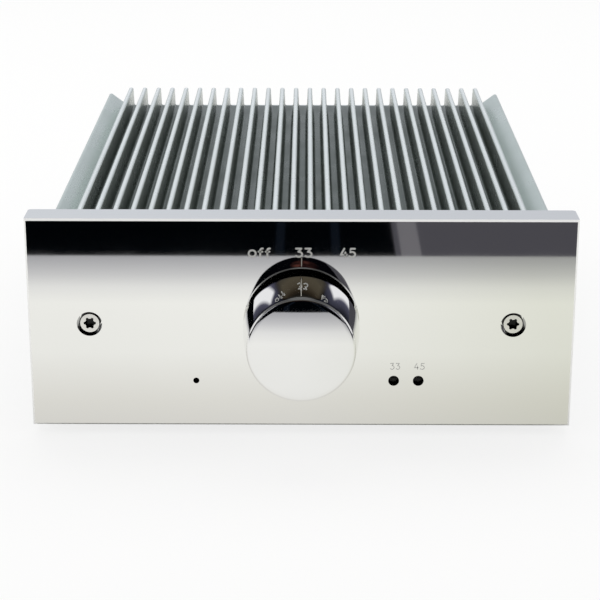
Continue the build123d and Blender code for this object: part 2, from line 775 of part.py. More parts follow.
with BuildPart() as indicator_lamp:
    with BuildSketch(facing_front(panel_front + lamp_recess)):
        with Locations((lamp_offset, lamp_level)):
            Circle(lamp_radius)
    extrude(amount=panel_front + lamp_recess - lamp_flange_front)
    fillet(indicator_lamp.faces().sort_by(Axis.Y)[0].edges(), lamp_tip_radius)
    with BuildSketch(facing_front(lamp_flange_front)):
        with Locations((lamp_offset, lamp_level)):
            Circle(lamp_flange_radius)
    extrude(amount=-lamp_flange_thickness)
    with BuildSketch(facing_front(lamp_flange_back)):
        with Locations(*lamp_leg_spots):
            Circle(lamp_leg_radius)
    extrude(amount=lamp_flange_back - control_back - solder_tail)
indicator_lamp.part.label = "indicator_lamp"
export_step(indicator_lamp.part, "parts/indicator_lamp.step")

with BuildPart() as lamp_spacer:
    with BuildSketch(facing_front(lamp_flange_back)):
        with Locations((lamp_offset, lamp_level)):
            Circle(lamp_flange_radius + lamp_spacer_wall)
            Circle(lamp_leg_offset + lamp_leg_radius + fit_gap, mode=Mode.SUBTRACT)
    extrude(amount=lamp_flange_back - control_front)
lamp_spacer.part.label = "lamp_spacer"
export_step(lamp_spacer.part, "parts/lamp_spacer.step")

trimmer_front = control_front - trimmer_depth
trimmer_collar_thickness = trimmer_depth / 3
trimmer_floor = trimmer_front + trimmer_collar_thickness + 2 * trimmer_play


def trimmer_housing(spot):
    """Square housing with a round seat for the rotor's collar."""
    with BuildPart() as housing:
        with BuildSketch(facing_front(trimmer_front)):
            with Locations(spot):
                RectangleRounded(trimmer_size, trimmer_size, trimmer_corner_radius)
        extrude(amount=-trimmer_depth)
        with BuildSketch(facing_front(trimmer_front)):
            with Locations(spot):
                Circle(trimmer_collar_radius + trimmer_play)
        extrude(amount=trimmer_front - trimmer_floor, mode=Mode.SUBTRACT)
    return housing


def trimmer_rotor(spot):
    """Rotor with a slotted shaft that ends inside the panel's hole."""
    with BuildPart() as rotor:
        with BuildSketch(facing_front(trimmer_floor - trimmer_play)):
            with Locations(spot):
                Circle(trimmer_collar_radius)
        extrude(amount=trimmer_collar_thickness)
        with BuildSketch(facing_front(trimmer_floor - trimmer_play)):
            with Locations(spot):
                Circle(trimmer_shaft_radius)
        extrude(amount=trimmer_floor - trimmer_play - panel_front - trimmer_recess)
        with BuildSketch(facing_front(panel_front + trimmer_recess)):
            with Locations(spot):
                Rectangle(2 * trimmer_shaft_radius, trimmer_slot_width)
        extrude(amount=-trimmer_slot_depth, mode=Mode.SUBTRACT)
    return rotor


trimmer_housing_33 = trimmer_housing(trimmer_spots[0])
trimmer_housing_33.part.label = "trimmer_housing_33"
export_step(trimmer_housing_33.part, "parts/trimmer_housing_33.step")

trimmer_housing_45 = trimmer_housing(trimmer_spots[1])
trimmer_housing_45.part.label = "trimmer_housing_45"
export_step(trimmer_housing_45.part, "parts/trimmer_housing_45.step")

trimmer_rotor_33 = trimmer_rotor(trimmer_spots[0])
trimmer_rotor_33.part.label = "trimmer_rotor_33"
export_step(trimmer_rotor_33.part, "parts/trimmer_rotor_33.step")

trimmer_rotor_45 = trimmer_rotor(trimmer_spots[1])
trimmer_rotor_45.part.label = "trimmer_rotor_45"
export_step(trimmer_rotor_45.part, "parts/trimmer_rotor_45.step")

# ================================================================== boards and pillars
with BuildPart() as control_board:
    with BuildSketch(facing_front(control_front)):
        with Locations((control_board_shift, control_middle)):
            RectangleRounded(control_board_width, control_board_height, board_corner_radius)
        with Locations(*control_pillar_spots):
            Circle(small_screw_radius + fit_gap, mode=Mode.SUBTRACT)
        with Locations((0, selector_level)):
            with PolarLocations(terminal_circle, terminal_count):
                Circle(terminal_radius + fit_gap, mode=Mode.SUBTRACT)
        with Locations(*lamp_leg_spots):
            Circle(lamp_leg_radius + lamp_leg_gap, mode=Mode.SUBTRACT)
    extrude(amount=-board_thickness)
control_board.part.label = "control_board"
export_step(control_board.part, "parts/control_board.step")

with BuildPart() as control_pillars:
    with BuildSketch(facing_front(pocket_floor)):
        with Locations(*control_pillar_spots):
            Circle(pillar_radius)
            Circle(small_screw_radius + thread_gap, mode=Mode.SUBTRACT)
    extrude(amount=pocket_floor - control_front)
control_pillars.part.label = "control_pillars"
export_step(control_pillars.part, "parts/control_pillars.step")


def flat_board(level, middle, width, length, hole_spots):
    """Circuit board lying at a level, with its screw holes."""
    with BuildPart() as board:
        with BuildSketch(Plane.XY.offset(level)):
            with Locations((0, middle)):
                RectangleRounded(width, length, board_corner_radius)
            with Locations(*hole_spots):
                Circle(small_screw_radius + fit_gap, mode=Mode.SUBTRACT)
        extrude(amount=board_thickness)
    return board


def upright_pillars(spots, level, height):
    """Round pillars with a threaded bore, standing on a level."""
    with BuildPart() as pillars:
        with BuildSketch(Plane.XY.offset(level)):
            with Locations(*spots):
                Circle(pillar_radius)
                Circle(small_screw_radius + thread_gap, mode=Mode.SUBTRACT)
        extrude(amount=height)
    return pillars


power_board = flat_board(power_board_level, power_middle, board_width, power_board_length,
                         power_pillar_spots)
power_board.part.label = "power_board"
export_step(power_board.part, "parts/power_board.step")

power_pillars = upright_pillars(power_pillar_spots, case_floor, power_pillar_height)
power_pillars.part.label = "power_pillars"
export_step(power_pillars.part, "parts/power_pillars.step")

amplifier_board = flat_board(amplifier_bottom, amplifier_middle, board_width,
                             amplifier_board_length, amplifier_pillar_spots)
amplifier_board.part.label = "amplifier_board"
export_step(amplifier_board.part, "parts/amplifier_board.step")

amplifier_pillars = upright_pillars(amplifier_pillar_spots, amplifier_top, amplifier_pillar_height)
amplifier_pillars.part.label = "amplifier_pillars"
export_step(amplifier_pillars.part, "parts/amplifier_pillars.step")

with BuildPart() as pillar_studs:
    with BuildSketch(Plane.XY.offset(heatsink_underside - screw_bite)):
        with Locations(*amplifier_pillar_spots):
            Circle(small_screw_radius)
    extrude(amount=2 * screw_bite)
pillar_studs.part.label = "pillar_studs"
export_step(pillar_studs.part, "parts/pillar_studs.step")

board_screw_bite = board_thickness + small_screw_length / 2
power_board_screws = upright_screws(power_pillar_spots, power_top, board_screw_bite, 1)
amplifier_board_screws = upright_screws(amplifier_pillar_spots, amplifier_bottom, board_screw_bite, -1)
with BuildPart() as board_screws:
    add(power_board_screws.part)
    add(amplifier_board_screws.part)
    with BuildSketch(facing_front(control_back)):
        with Locations(*control_pillar_spots):
            Circle(small_screw_head_radius)
    extrude(amount=-small_screw_head_height)
    with BuildSketch(facing_front(control_back)):
        with Locations(*control_pillar_spots):
            Circle(small_screw_radius)
    extrude(amount=board_screw_bite)
    with BuildSketch(facing_front(control_back + small_screw_head_height)):
        with Locations(*control_pillar_spots):
            Rectangle(2 * small_screw_head_radius, small_screw_slot)
    extrude(amount=small_screw_head_height / 2, mode=Mode.SUBTRACT)
board_screws.part.label = "board_screws"
export_step(board_screws.part, "parts/board_screws.step")

# ================================================================== power board
power_front = power_back - power_board_length
capacitor_block = capacitor_pitch + 2 * capacitor_radius
transformer_width = board_width - 2 * transformer_margin - transformer_gap - capacitor_block
transformer_x = -board_width / 2 + transformer_margin + transformer_width / 2
transformer_y = power_front + mains_front_margin + transformer_depth / 2
capacitor_x = board_width / 2 - transformer_margin - capacitor_block / 2
capacitor_y = transformer_y
header_x = capacitor_x
header_y = capacitor_y + capacitor_pitch + capacitor_radius
fuse_y = rear_face - inlet_body_depth - fuse_inlet_gap

with BuildPart() as transformer:
    with BuildSketch(Plane.XY.offset(power_top)):
        with Locations((transformer_x, transformer_y)):
            RectangleRounded(transformer_width, transformer_depth, transformer_edge_radius)
    extrude(amount=transformer_height)
    fillet(transformer.faces().sort_by(Axis.Z)[-1].edges(), transformer_edge_radius / 2)
transformer.part.label = "transformer"
export_step(transformer.part, "parts/transformer.step")

with BuildPart() as reservoir_capacitors:
    with BuildSketch(Plane.XY.offset(power_top)):
        with Locations((capacitor_x, capacitor_y)):
            with GridLocations(capacitor_pitch, capacitor_pitch, 2, 2):
                Circle(capacitor_radius)
    extrude(amount=capacitor_height)
    fillet(reservoir_capacitors.faces().group_by(Axis.Z)[-1].edges(), capacitor_rim)
reservoir_capacitors.part.label = "reservoir_capacitors"
export_step(reservoir_capacitors.part, "parts/reservoir_capacitors.step")

with BuildPart() as rectifier:
    with BuildSketch(Plane.XY.offset(power_top)):
        with Locations((0, header_y)):
            RectangleRounded(rectifier_width, rectifier_depth, rectifier_corner_radius)
    extrude(amount=rectifier_height)
rectifier.part.label = "rectifier"
export_step(rectifier.part, "parts/rectifier.step")

fuse_level = power_top + fuse_clip_height - fuse_radius - fuse_clip_wall
fuse_clip_offset = fuse_length / 2 - fuse_clip_width / 2
fuse_side = Plane(origin=(inlet_offset - fuse_length / 2, fuse_y, fuse_level), x_dir=(0, 1, 0),
                  z_dir=(1, 0, 0))

with BuildPart() as fuse:
    with BuildSketch(fuse_side):
        Circle(fuse_radius)
    extrude(amount=fuse_length)
fuse.part.label = "fuse"
export_step(fuse.part, "parts/fuse.step")

with BuildPart() as fuse_clips:
    with BuildSketch(Plane.XY.offset(power_top)):
        with Locations((inlet_offset - fuse_clip_offset, fuse_y), (inlet_offset + fuse_clip_offset, fuse_y)):
            Rectangle(fuse_clip_width, 2 * (fuse_radius + fuse_clip_wall))
    extrude(amount=fuse_clip_height)
    with BuildSketch(fuse_side.offset(-fuse_length)):
        Circle(fuse_radius + thread_gap)
        with Locations((0, fuse_clip_height)):
            Rectangle(2 * fuse_radius, 2 * fuse_clip_height)
    extrude(amount=3 * fuse_length, mode=Mode.SUBTRACT)
fuse_clips.part.label = "fuse_clips"
export_step(fuse_clips.part, "parts/fuse_clips.step")

# ================================================================== amplifier board
pad_level = heatsink_underside - transistor_pad_thickness
tab_level = pad_level - transistor_tab_thickness
body_level = pad_level - transistor_body_thickness
tab_back = transistor_row + transistor_tab_length / 2
leg_level = pad_level - transistor_body_thickness / 2
leg_turn = tab_back + transistor_leg_reach
transistor_columns = [spot[0] for spot in transistor_spots]

with BuildPart() as transistors:
    with BuildSketch(Plane.XY.offset(tab_level)):
        with Locations(*[(x, transistor_row) for x in transistor_columns]):
            Rectangle(transistor_width, transistor_tab_length)
        with Locations(*transistor_spots):
            Circle(small_screw_radius + fit_gap, mode=Mode.SUBTRACT)
    extrude(amount=transistor_tab_thickness)
    with BuildSketch(Plane.XY.offset(body_level)):
        with Locations(*[(x, tab_back - transistor_body_length / 2) for x in transistor_columns]):
            Rectangle(transistor_width, transistor_body_length)
    extrude(amount=transistor_body_thickness - transistor_tab_thickness)
    for x in transistor_columns:
        for step in (-1, 0, 1):
            with BuildSketch(facing_side(x + step * transistor_leg_pitch - transistor_leg_width / 2)):
                with BuildLine():
                    Polyline((tab_back, leg_level), (leg_turn, leg_level), (leg_turn, amplifier_top),
                             (leg_turn - transistor_leg_thickness, amplifier_top),
                             (leg_turn - transistor_leg_thickness, leg_level - transistor_leg_thickness),
                             (tab_back, leg_level - transistor_leg_thickness), close=True)
                make_face()
            extrude(amount=transistor_leg_width)
transistors.part.label = "transistors"
export_step(transistors.part, "parts/transistors.step")

with BuildPart() as transistor_pads:
    with BuildSketch(Plane.XY.offset(pad_level)):
        with Locations(*[(x, transistor_row) for x in transistor_columns]):
            Rectangle(transistor_width + 2 * transistor_pad_margin,
                      transistor_tab_length + 2 * transistor_pad_margin)
        with Locations(*transistor_spots):
            Circle(small_screw_radius + fit_gap, mode=Mode.SUBTRACT)
    extrude(amount=transistor_pad_thickness)
transistor_pads.part.label = "transistor_pads"
export_step(transistor_pads.part, "parts/transistor_pads.step")

transistor_screws = upright_screws(transistor_spots, tab_level,
                                   heatsink_underside - tab_level + screw_bite, -1)
transistor_screws.part.label = "transistor_screws"
export_step(transistor_screws.part, "parts/transistor_screws.step")

amplifier_front = amplifier_back - amplifier_board_length
chip_x = -board_width / 4
chip_y = amplifier_front + 2 * chip_width
crystal_y = chip_y + 2 * chip_width
chip_leg_pitch = chip_length / chip_leg_count

with BuildPart() as microcontroller:
    with BuildSketch(Plane.XY.offset(amplifier_top + chip_standoff)):
        with Locations((chip_x, chip_y)):
            Rectangle(chip_length, chip_width)
    extrude(amount=chip_height)
    with BuildSketch(Plane.XY.offset(amplifier_top)):
        with Locations((chip_x, chip_y)):
            with GridLocations(chip_leg_pitch, chip_width, chip_leg_count, 2):
                Rectangle(chip_leg_pitch / 3, chip_leg_reach)
    extrude(amount=chip_height / 2)
microcontroller.part.label = "microcontroller"
export_step(microcontroller.part, "parts/microcontroller.step")

with BuildPart() as crystal:
    with BuildSketch(Plane.XY.offset(amplifier_top)):
        with Locations((chip_x, crystal_y)):
            SlotOverall(crystal_length, crystal_width)
    extrude(amount=crystal_height)
crystal.part.label = "crystal"
export_step(crystal.part, "parts/crystal.step")

film_capacitor_x = board_width / 2 - film_capacitor_margin - film_capacitor_length / 2
film_capacitor_y = amplifier_front + 3 * film_capacitor_pitch
with BuildPart() as film_capacitors:
    with BuildSketch(Plane.XY.offset(amplifier_top)):
        with Locations((film_capacitor_x, film_capacitor_y)):
            with GridLocations(0, film_capacitor_pitch, 1, film_capacitor_count):
                RectangleRounded(film_capacitor_length, film_capacitor_width, film_capacitor_corner)
    extrude(amount=film_capacitor_height)
film_capacitors.part.label = "film_capacitors"
export_step(film_capacitors.part, "parts/film_capacitors.step")

# ================================================================== headers and ribbons
control_header_level = control_top - header_depth
signal_header_y = amplifier_front + 2 * header_depth
control_header_back = control_back + header_height
signal_header_level = amplifier_bottom - header_depth / 2

with BuildPart() as board_headers:
    with BuildSketch(Plane.XY.offset(power_top)):
        with Locations((header_x, header_y)):
            Rectangle(header_width, header_depth)
    extrude(amount=header_height)
    with BuildSketch(Plane.XY.offset(amplifier_bottom)):
        with Locations((header_x, header_y)):
            Rectangle(header_width, header_depth)
    extrude(amount=-header_height)
    with BuildSketch(facing_front(control_back)):
        with Locations((control_header_shift, control_header_level)):
            Rectangle(header_width, header_depth)
    extrude(amount=-header_height)
    with BuildSketch(facing_front(signal_header_y)):
        with Locations((control_header_shift, signal_header_level)):
            Rectangle(header_width, header_depth)
    extrude(amount=-header_height)
board_headers.part.label = "board_headers"
export_step(board_headers.part, "parts/board_headers.step")


def ribbon(route, x):
    """Flat cable of even width along a route of (y, z) points."""
    with BuildPart() as strip:
        with BuildSketch(facing_side(x - ribbon_width / 2)):
            with BuildLine():
                FilletPolyline(*route, radius=ribbon_bend_radius)
            trace(line_width=ribbon_thickness)
        extrude(amount=ribbon_width)
    return strip


control_ribbon = ribbon([
    (control_header_back, control_header_level),
    (control_header_back + ribbon_lead, control_header_level),
    ((control_header_back + signal_header_y) / 2, control_header_level - ribbon_sag),
    (signal_header_y - ribbon_lead, signal_header_level),
    (signal_header_y, signal_header_level),
], control_header_shift)
control_ribbon.part.label = "control_ribbon"
export_step(control_ribbon.part, "parts/control_ribbon.step")

supply_bottom = power_top + header_height
supply_top = amplifier_bottom - header_height
supply_third = (supply_top - supply_bottom) / 3
supply_ribbon = ribbon([
    (header_y, supply_bottom),
    (header_y, supply_bottom + supply_third),
    (header_y + supply_third / 2, (supply_bottom + supply_top) / 2),
    (header_y, supply_top - supply_third),
    (header_y, supply_top),
], header_x)
supply_ribbon.part.label = "supply_ribbon"
export_step(supply_ribbon.part, "parts/supply_ribbon.step")

# ================================================================== rear sockets
inlet_mouth = rear_face + inlet_flange_thickness
inlet_back = rear_face - inlet_body_depth
cavity_floor = inlet_mouth - inlet_cavity_depth
pin_centres = [
    (inlet_offset - inlet_pin_spacing, inlet_level - inlet_pin_drop),
    (inlet_offset, inlet_level + inlet_pin_drop),
    (inlet_offset + inlet_pin_spacing, inlet_level - inlet_pin_drop),
]

with BuildPart() as mains_inlet:
    with BuildSketch(facing_front(inlet_mouth)):
        with Locations((inlet_offset, inlet_level)):
            RectangleRounded(inlet_flange_width, inlet_flange_height, inlet_corner_cut)
    extrude(amount=inlet_flange_thickness)
    with BuildSketch(facing_front(rear_face)):
        with Locations((inlet_offset, inlet_level)):
            Rectangle(inlet_body_width, inlet_body_height)
    extrude(amount=inlet_body_depth)
    with BuildSketch(facing_front(inlet_mouth)):
        with Locations((inlet_offset, inlet_level)):
            Rectangle(inlet_cavity_width, inlet_cavity_height)
    extrude(amount=inlet_cavity_depth, mode=Mode.SUBTRACT)
    top_corners = mains_inlet.edges().filter_by(Axis.Y).filter_by(
        lambda e: abs(abs(e.center().X - inlet_offset) - inlet_cavity_width / 2) < 0.01
        and e.center().Z > inlet_level)
    chamfer(top_corners, inlet_corner_cut)
    with BuildSketch(facing_front(cavity_floor)):
        with Locations(*pin_centres):
            Rectangle(inlet_pin_thickness + 2 * thread_gap, inlet_pin_width + 2 * thread_gap)
    extrude(amount=cavity_floor - inlet_back, mode=Mode.SUBTRACT)
    with BuildSketch(facing_front(inlet_mouth)):
        with Locations(*inlet_screw_spots):
            Circle(small_screw_radius + fit_gap)
    extrude(amount=inlet_flange_thickness, mode=Mode.SUBTRACT)
mains_inlet.part.label = "mains_inlet"
export_step(mains_inlet.part, "parts/mains_inlet.step")

pin_tip = cavity_floor + inlet_pin_length
tail_back = inlet_back - inlet_tail

with BuildPart() as inlet_pins:
    with BuildSketch(facing_front(pin_tip)):
        with Locations(*pin_centres):
            Rectangle(inlet_pin_thickness, inlet_pin_width)
    extrude(amount=pin_tip - tail_back)
    for x, z in pin_centres:
        with BuildSketch(Plane.XY.offset(power_top)):
            with Locations((x, tail_back + inlet_pin_thickness / 2)):
                Rectangle(inlet_pin_thickness, inlet_pin_thickness)
        extrude(amount=z - power_top)
inlet_pins.part.label = "inlet_pins"
export_step(inlet_pins.part, "parts/inlet_pins.step")

inlet_screw_length = (inlet_mouth - case_back + earth_strap_thickness + small_nut_height
                      + nut_overhang)

with BuildPart() as inlet_screws:
    with BuildSketch(facing_front(inlet_mouth)):
        with Locations(*inlet_screw_spots):
            Circle(small_screw_head_radius)
    extrude(amount=-small_screw_head_height)
    with BuildSketch(facing_front(inlet_mouth)):
        with Locations(*inlet_screw_spots):
            Circle(small_screw_radius)
    extrude(amount=inlet_screw_length)
    with BuildSketch(facing_front(inlet_mouth + small_screw_head_height)):
        with Locations(*inlet_screw_spots):
            Rectangle(2 * small_screw_head_radius, small_screw_slot)
    extrude(amount=small_screw_head_height / 2, mode=Mode.SUBTRACT)
inlet_screws.part.label = "inlet_screws"
export_step(inlet_screws.part, "parts/inlet_screws.step")

socket_back = case_back - outlet_body_depth
socket_mouth = rear_face + outlet_reach
socket_floor = socket_mouth - outlet_cavity_depth

with BuildPart() as motor_socket:
    with BuildSketch(facing_front(case_back)):
        with Locations((outlet_offset, outlet_level)):
            Circle(outlet_body_radius)
    extrude(amount=outlet_body_depth)
    with BuildSketch(facing_front(socket_mouth)):
        with Locations((outlet_offset, outlet_level)):
            Circle(outlet_thread_radius)
    extrude(amount=socket_mouth - case_back)
    with BuildSketch(facing_front(socket_mouth)):
        with Locations((outlet_offset, outlet_level)):
            Circle(outlet_bore_radius)
    extrude(amount=outlet_cavity_depth, mode=Mode.SUBTRACT)
    chamfer(motor_socket.faces().sort_by(Axis.Y)[-1].edges(), outlet_bevel)
    with BuildSketch(facing_front(socket_floor)):
        with Locations((outlet_offset, outlet_level)):
            with PolarLocations(outlet_pin_circle, outlet_pin_count):
                Circle(outlet_pin_radius + thread_gap)
    extrude(amount=socket_floor - socket_back, mode=Mode.SUBTRACT)
motor_socket.part.label = "motor_socket"
export_step(motor_socket.part, "parts/motor_socket.step")

socket_pin_levels = [
    (outlet_offset + outlet_pin_circle * cos(radians(turn)),
     outlet_level + outlet_pin_circle * sin(radians(turn)))
    for turn in range(0, 360, 360 // outlet_pin_count)
]

with BuildPart() as socket_pins:
    for x, z in socket_pin_levels:
        row = 2 if z < outlet_level - outlet_pin_radius else 1
        tail = socket_back - row * outlet_tail
        with BuildSketch(facing_front(socket_floor + outlet_pin_length)):
            with Locations((x, z)):
                Circle(outlet_pin_radius)
        extrude(amount=socket_floor + outlet_pin_length - tail)
        with BuildSketch(Plane.XY.offset(z)):
            with Locations((x, tail + outlet_pin_radius)):
                Circle(outlet_pin_radius)
        extrude(amount=amplifier_bottom - z)
socket_pins.part.label = "socket_pins"
export_step(socket_pins.part, "parts/socket_pins.step")

with BuildPart() as socket_nut:
    with BuildSketch(facing_front(rear_face)):
        with Locations((outlet_offset, outlet_level)):
            RegularPolygon(outlet_nut_width / 2, 6, major_radius=False)
            Circle(outlet_thread_radius + thread_gap, mode=Mode.SUBTRACT)
    extrude(amount=-outlet_nut_height)
socket_nut.part.label = "socket_nut"
export_step(socket_nut.part, "parts/socket_nut.step")

# ================================================================== earth strap and nuts
strap_front = strap_hole[1] - earth_strap_width / 2
strap_top = inlet_level + earth_strap_width / 2

with BuildPart() as earth_strap:
    with BuildSketch(facing_side(strap_x - earth_strap_width / 2)):
        with BuildLine():
            Polyline((strap_front, case_floor), (case_back, case_floor), (case_back, strap_top),
                     (case_back - earth_strap_thickness, strap_top),
                     (case_back - earth_strap_thickness, case_floor + earth_strap_thickness),
                     (strap_front, case_floor + earth_strap_thickness), close=True)
        make_face()
    extrude(amount=earth_strap_width)
    with BuildSketch(Plane.XY.offset(case_floor)):
        with Locations(strap_hole):
            Circle(small_screw_radius + fit_gap)
    extrude(amount=earth_strap_thickness, mode=Mode.SUBTRACT)
    with BuildSketch(facing_front(case_back)):
        with Locations((strap_x, inlet_level)):
            Circle(small_screw_radius + fit_gap)
    extrude(amount=earth_strap_thickness, mode=Mode.SUBTRACT)
earth_strap.part.label = "earth_strap"
export_step(earth_strap.part, "parts/earth_strap.step")

earth_screw = upright_screws([strap_hole], case_bottom,
                             base_thickness + earth_strap_thickness + small_nut_height
                             + nut_overhang, -1)
earth_screw.part.label = "earth_screw"
export_step(earth_screw.part, "parts/earth_screw.step")

with BuildPart() as small_nuts:
    with BuildSketch(Plane.XY.offset(case_floor)):
        with Locations(*foot_spots):
            RegularPolygon(small_nut_width / 2, 6, major_radius=False)
            Circle(small_screw_radius + thread_gap, mode=Mode.SUBTRACT)
    extrude(amount=small_nut_height)
    with BuildSketch(Plane.XY.offset(case_floor + earth_strap_thickness)):
        with Locations(strap_hole):
            RegularPolygon(small_nut_width / 2, 6, major_radius=False)
            Circle(small_screw_radius + thread_gap, mode=Mode.SUBTRACT)
    extrude(amount=small_nut_height)
    for (x, z), seat in zip(inlet_screw_spots, (case_back, case_back - earth_strap_thickness)):
        with BuildSketch(facing_front(seat)):
            with Locations((x, z)):
                RegularPolygon(small_nut_width / 2, 6, major_radius=False)
                Circle(small_screw_radius + thread_gap, mode=Mode.SUBTRACT)
        extrude(amount=small_nut_height)
small_nuts.part.label = "small_nuts"
export_step(small_nuts.part, "parts/small_nuts.step")
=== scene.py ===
"""Looks of a turntable speed controller: mirror-polished front panel and knob, finned
heatsink top, extruded case, controls, sockets and boards, with a plain studio."""

import json
import math

import bmesh
import bpy
from mathutils import Matrix, Vector


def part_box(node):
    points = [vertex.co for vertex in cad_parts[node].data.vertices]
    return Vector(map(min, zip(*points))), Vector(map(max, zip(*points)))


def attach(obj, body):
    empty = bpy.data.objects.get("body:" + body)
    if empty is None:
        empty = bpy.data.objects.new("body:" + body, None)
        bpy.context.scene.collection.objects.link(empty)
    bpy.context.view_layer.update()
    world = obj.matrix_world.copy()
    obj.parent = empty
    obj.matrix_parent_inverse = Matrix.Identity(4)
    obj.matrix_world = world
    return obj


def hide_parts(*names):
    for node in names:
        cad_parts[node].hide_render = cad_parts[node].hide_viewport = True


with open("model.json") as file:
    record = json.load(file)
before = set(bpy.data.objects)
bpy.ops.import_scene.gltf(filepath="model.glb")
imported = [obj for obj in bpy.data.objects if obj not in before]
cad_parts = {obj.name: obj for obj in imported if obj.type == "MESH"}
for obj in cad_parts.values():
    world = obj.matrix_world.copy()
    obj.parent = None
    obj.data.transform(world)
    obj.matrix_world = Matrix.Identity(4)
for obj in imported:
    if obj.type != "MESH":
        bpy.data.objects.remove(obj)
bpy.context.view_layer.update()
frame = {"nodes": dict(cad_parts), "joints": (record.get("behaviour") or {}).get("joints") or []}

bl_info = {
    "name": "Turntable speed controller",
    "version": (1, 0, 0),
    "blender": (4, 5, 0),
    "location": "View3D > Sidebar > Controller",
    "description": "Dresses the packed speed controller with its finishes and builds its studio",
    "category": "Object",
}

NODES = frame["nodes"]
MM = 0.001
PANEL_LOW, PANEL_HIGH = (Vector(corner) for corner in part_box("front_panel"))
PANEL_FRONT = PANEL_LOW.y
PANEL_BASE = PANEL_LOW.z
CASE_BODY = "case"
SELECTOR_BODY = "selector"
SELECTOR_AXIS = Vector(next(joint["pos_m"] for joint in frame["joints"]
                            if joint["name"] == "selector_turn"))


# ------------------------------------------------------------------ settings
def number(name, description, default, low, high):
    """A float property with a name, a description and limits."""
    return bpy.props.FloatProperty(name=name, description=description, default=default,
                                   min=low, max=high)


def length(name, description, default_mm, high_mm):
    """A length property, given in millimetres and kept in metres."""
    return bpy.props.FloatProperty(name=name, description=description, default=default_mm * MM,
                                   min=0.0, max=high_mm * MM, precision=5, subtype="DISTANCE",
                                   unit="LENGTH")


def tint(name, description, default):
    """A linear RGB colour property."""
    return bpy.props.FloatVectorProperty(name=name, description=description, default=default,
                                         size=3, min=0.0, max=1.0, subtype="COLOR")


class FinishSettings(bpy.types.PropertyGroup):
    """Colours and roughness of the main finishes."""

    polish: tint("Polished metal", "Colour of the mirror-polished panel", (0.90, 0.90, 0.885))
    polish_roughness: number("Polish roughness", "Roughness of the polished panel", 0.035, 0, 1)
    bevel_roughness: number("Bevel roughness", "Roughness of the panel's bevel", 0.42, 0, 1)
    knob: tint("Knob metal", "Colour of the polished knob", (0.88, 0.88, 0.88))
    knob_roughness: number("Knob roughness", "Roughness of the polished knob", 0.03, 0, 1)
    # Brighter than the case: the fins' crests keep this colour as a painted highlight
    anodised: tint("Anodised metal", "Colour of the heatsink", (0.96, 1.0, 0.985))
    anodised_roughness: number("Anodised roughness", "Roughness of the heatsink", 0.30, 0, 1)
    case: tint("Case metal", "Colour of the walls and the base", (0.66, 0.70, 0.69))
    lettering: tint("Lettering", "Colour of the filled lettering", (0.56, 0.56, 0.54))
    rubber: tint("Rubber", "Colour of the feet", (0.018, 0.018, 0.019))
    plastic: tint("Black plastic", "Colour of the moulded sockets", (0.016, 0.016, 0.018))
    board: tint("Circuit board", "Colour of the solder mask", (0.012, 0.11, 0.045))


class KnobSettings(bpy.types.PropertyGroup):
    """Sizes of the turned knob. Stations are distances from the panel."""

    rear_radius: length("Rear radius", "Radius at the rear edge", 23.5, 60)
    front_radius: length("Front radius", "Radius at the front edge", 21.3, 60)
    gap: length("Gap", "Station of the rear face", 5.3, 20)
    reach: length("Reach", "Station of the middle of the domed face", 27.5, 90)
    dome: length("Dome", "Rise of the face", 0.39, 5)
    bulge: length("Bulge", "Swell of the flank between its edges", 0.25, 3)
    edge_radius: length("Edge radius", "Rounding of the front edge", 1.1, 10)
    rear_bevel: length("Rear bevel", "Bevel of the rear edge", 0.4, 5)
    break_radius: length("Edge break", "Rounding of the small edges", 0.08, 1)
    recess_radius: length("Recess radius", "Radius of the rear recess", 11.0, 40)
    recess_end: length("Recess end", "Station of the recess floor", 7.5, 40)
    bore_radius: length("Bore radius", "Radius of the spindle bore", 3.05, 10)
    bore_end: length("Bore end", "Station of the bore's end", 20.05, 80)
    line_margin: length("Line margin", "Index line to the rear bevel and to the rim", 1.5, 20)
    line_width: length("Line width", "Width of the index line", 0.8, 5)
    line_depth: length("Line depth", "Depth of the index line", 0.4, 3)
    grub_station: length("Grub station", "Station of the grub screw's hole", 12.5, 60)
    grub_radius: length("Grub radius", "Radius of the grub screw's hole", 2.05, 10)
    grub_floor: length("Grub floor", "End of that hole above the knob's axis", 4.0, 20)
    columns: bpy.props.IntProperty(name="Columns", description="Facets round the knob",
                                   default=288, min=96, max=1024, step=4)


class HeatsinkSettings(bpy.types.PropertyGroup):
    """Tones and sizes of the finned section. Tones are factors on the heatsink's colour."""

    # Painted shade on the flanks and in the channels; the crests keep a painted highlight
    flank: tint("Flank tone", "Factor on the fins' flanks", (0.55, 0.58, 0.56))
    channel: tint("Channel tone", "Factor on the channels' floors", (0.100, 0.122, 0.104))
    shoulder: tint("Shoulder tone", "Factor on the shoulders", (0.63, 0.675, 0.655))
    pitch: length("Pitch", "Distance from fin to fin", 7.15, 50)
    fin_height: length("Fin height", "Channel floor to fin tip", 9.5, 60)
    crest_half: length("Crest half", "Half width of a fin's bright crest", 0.35, 10)
    flank_half: length("Flank half", "Half width at which the flank tone is reached", 1.10, 10)
    fins_half: length("Fins half", "Half width of the finned part", 90.2, 500)
    curve: number("Curve", "How late the tone falls with depth", 1.2, 0.1, 5)


class LetteringSettings(bpy.types.PropertyGroup):
    """Sizes of the panel's lettering. Feet are measured from the panel's lower edge."""

    height: length("Mark height", "Height of off, 33 and 45", 4.2, 20)
    small_height: length("Small height", "Height of the numbers over the trimmers", 2.85, 20)
    stroke: length("Stroke", "Stroke width of off, 33 and 45", 0.75, 3)
    small_stroke: length("Small stroke", "Stroke width of the small numbers", 0.30, 3)
    base: length("Mark base", "Foot of off, 33 and 45", 72.18, 200)
    small_base: length("Small base", "Foot of the small numbers", 24.65, 200)
    proud: length("Proud", "How far the filling stands off the panel", 0.015, 1)


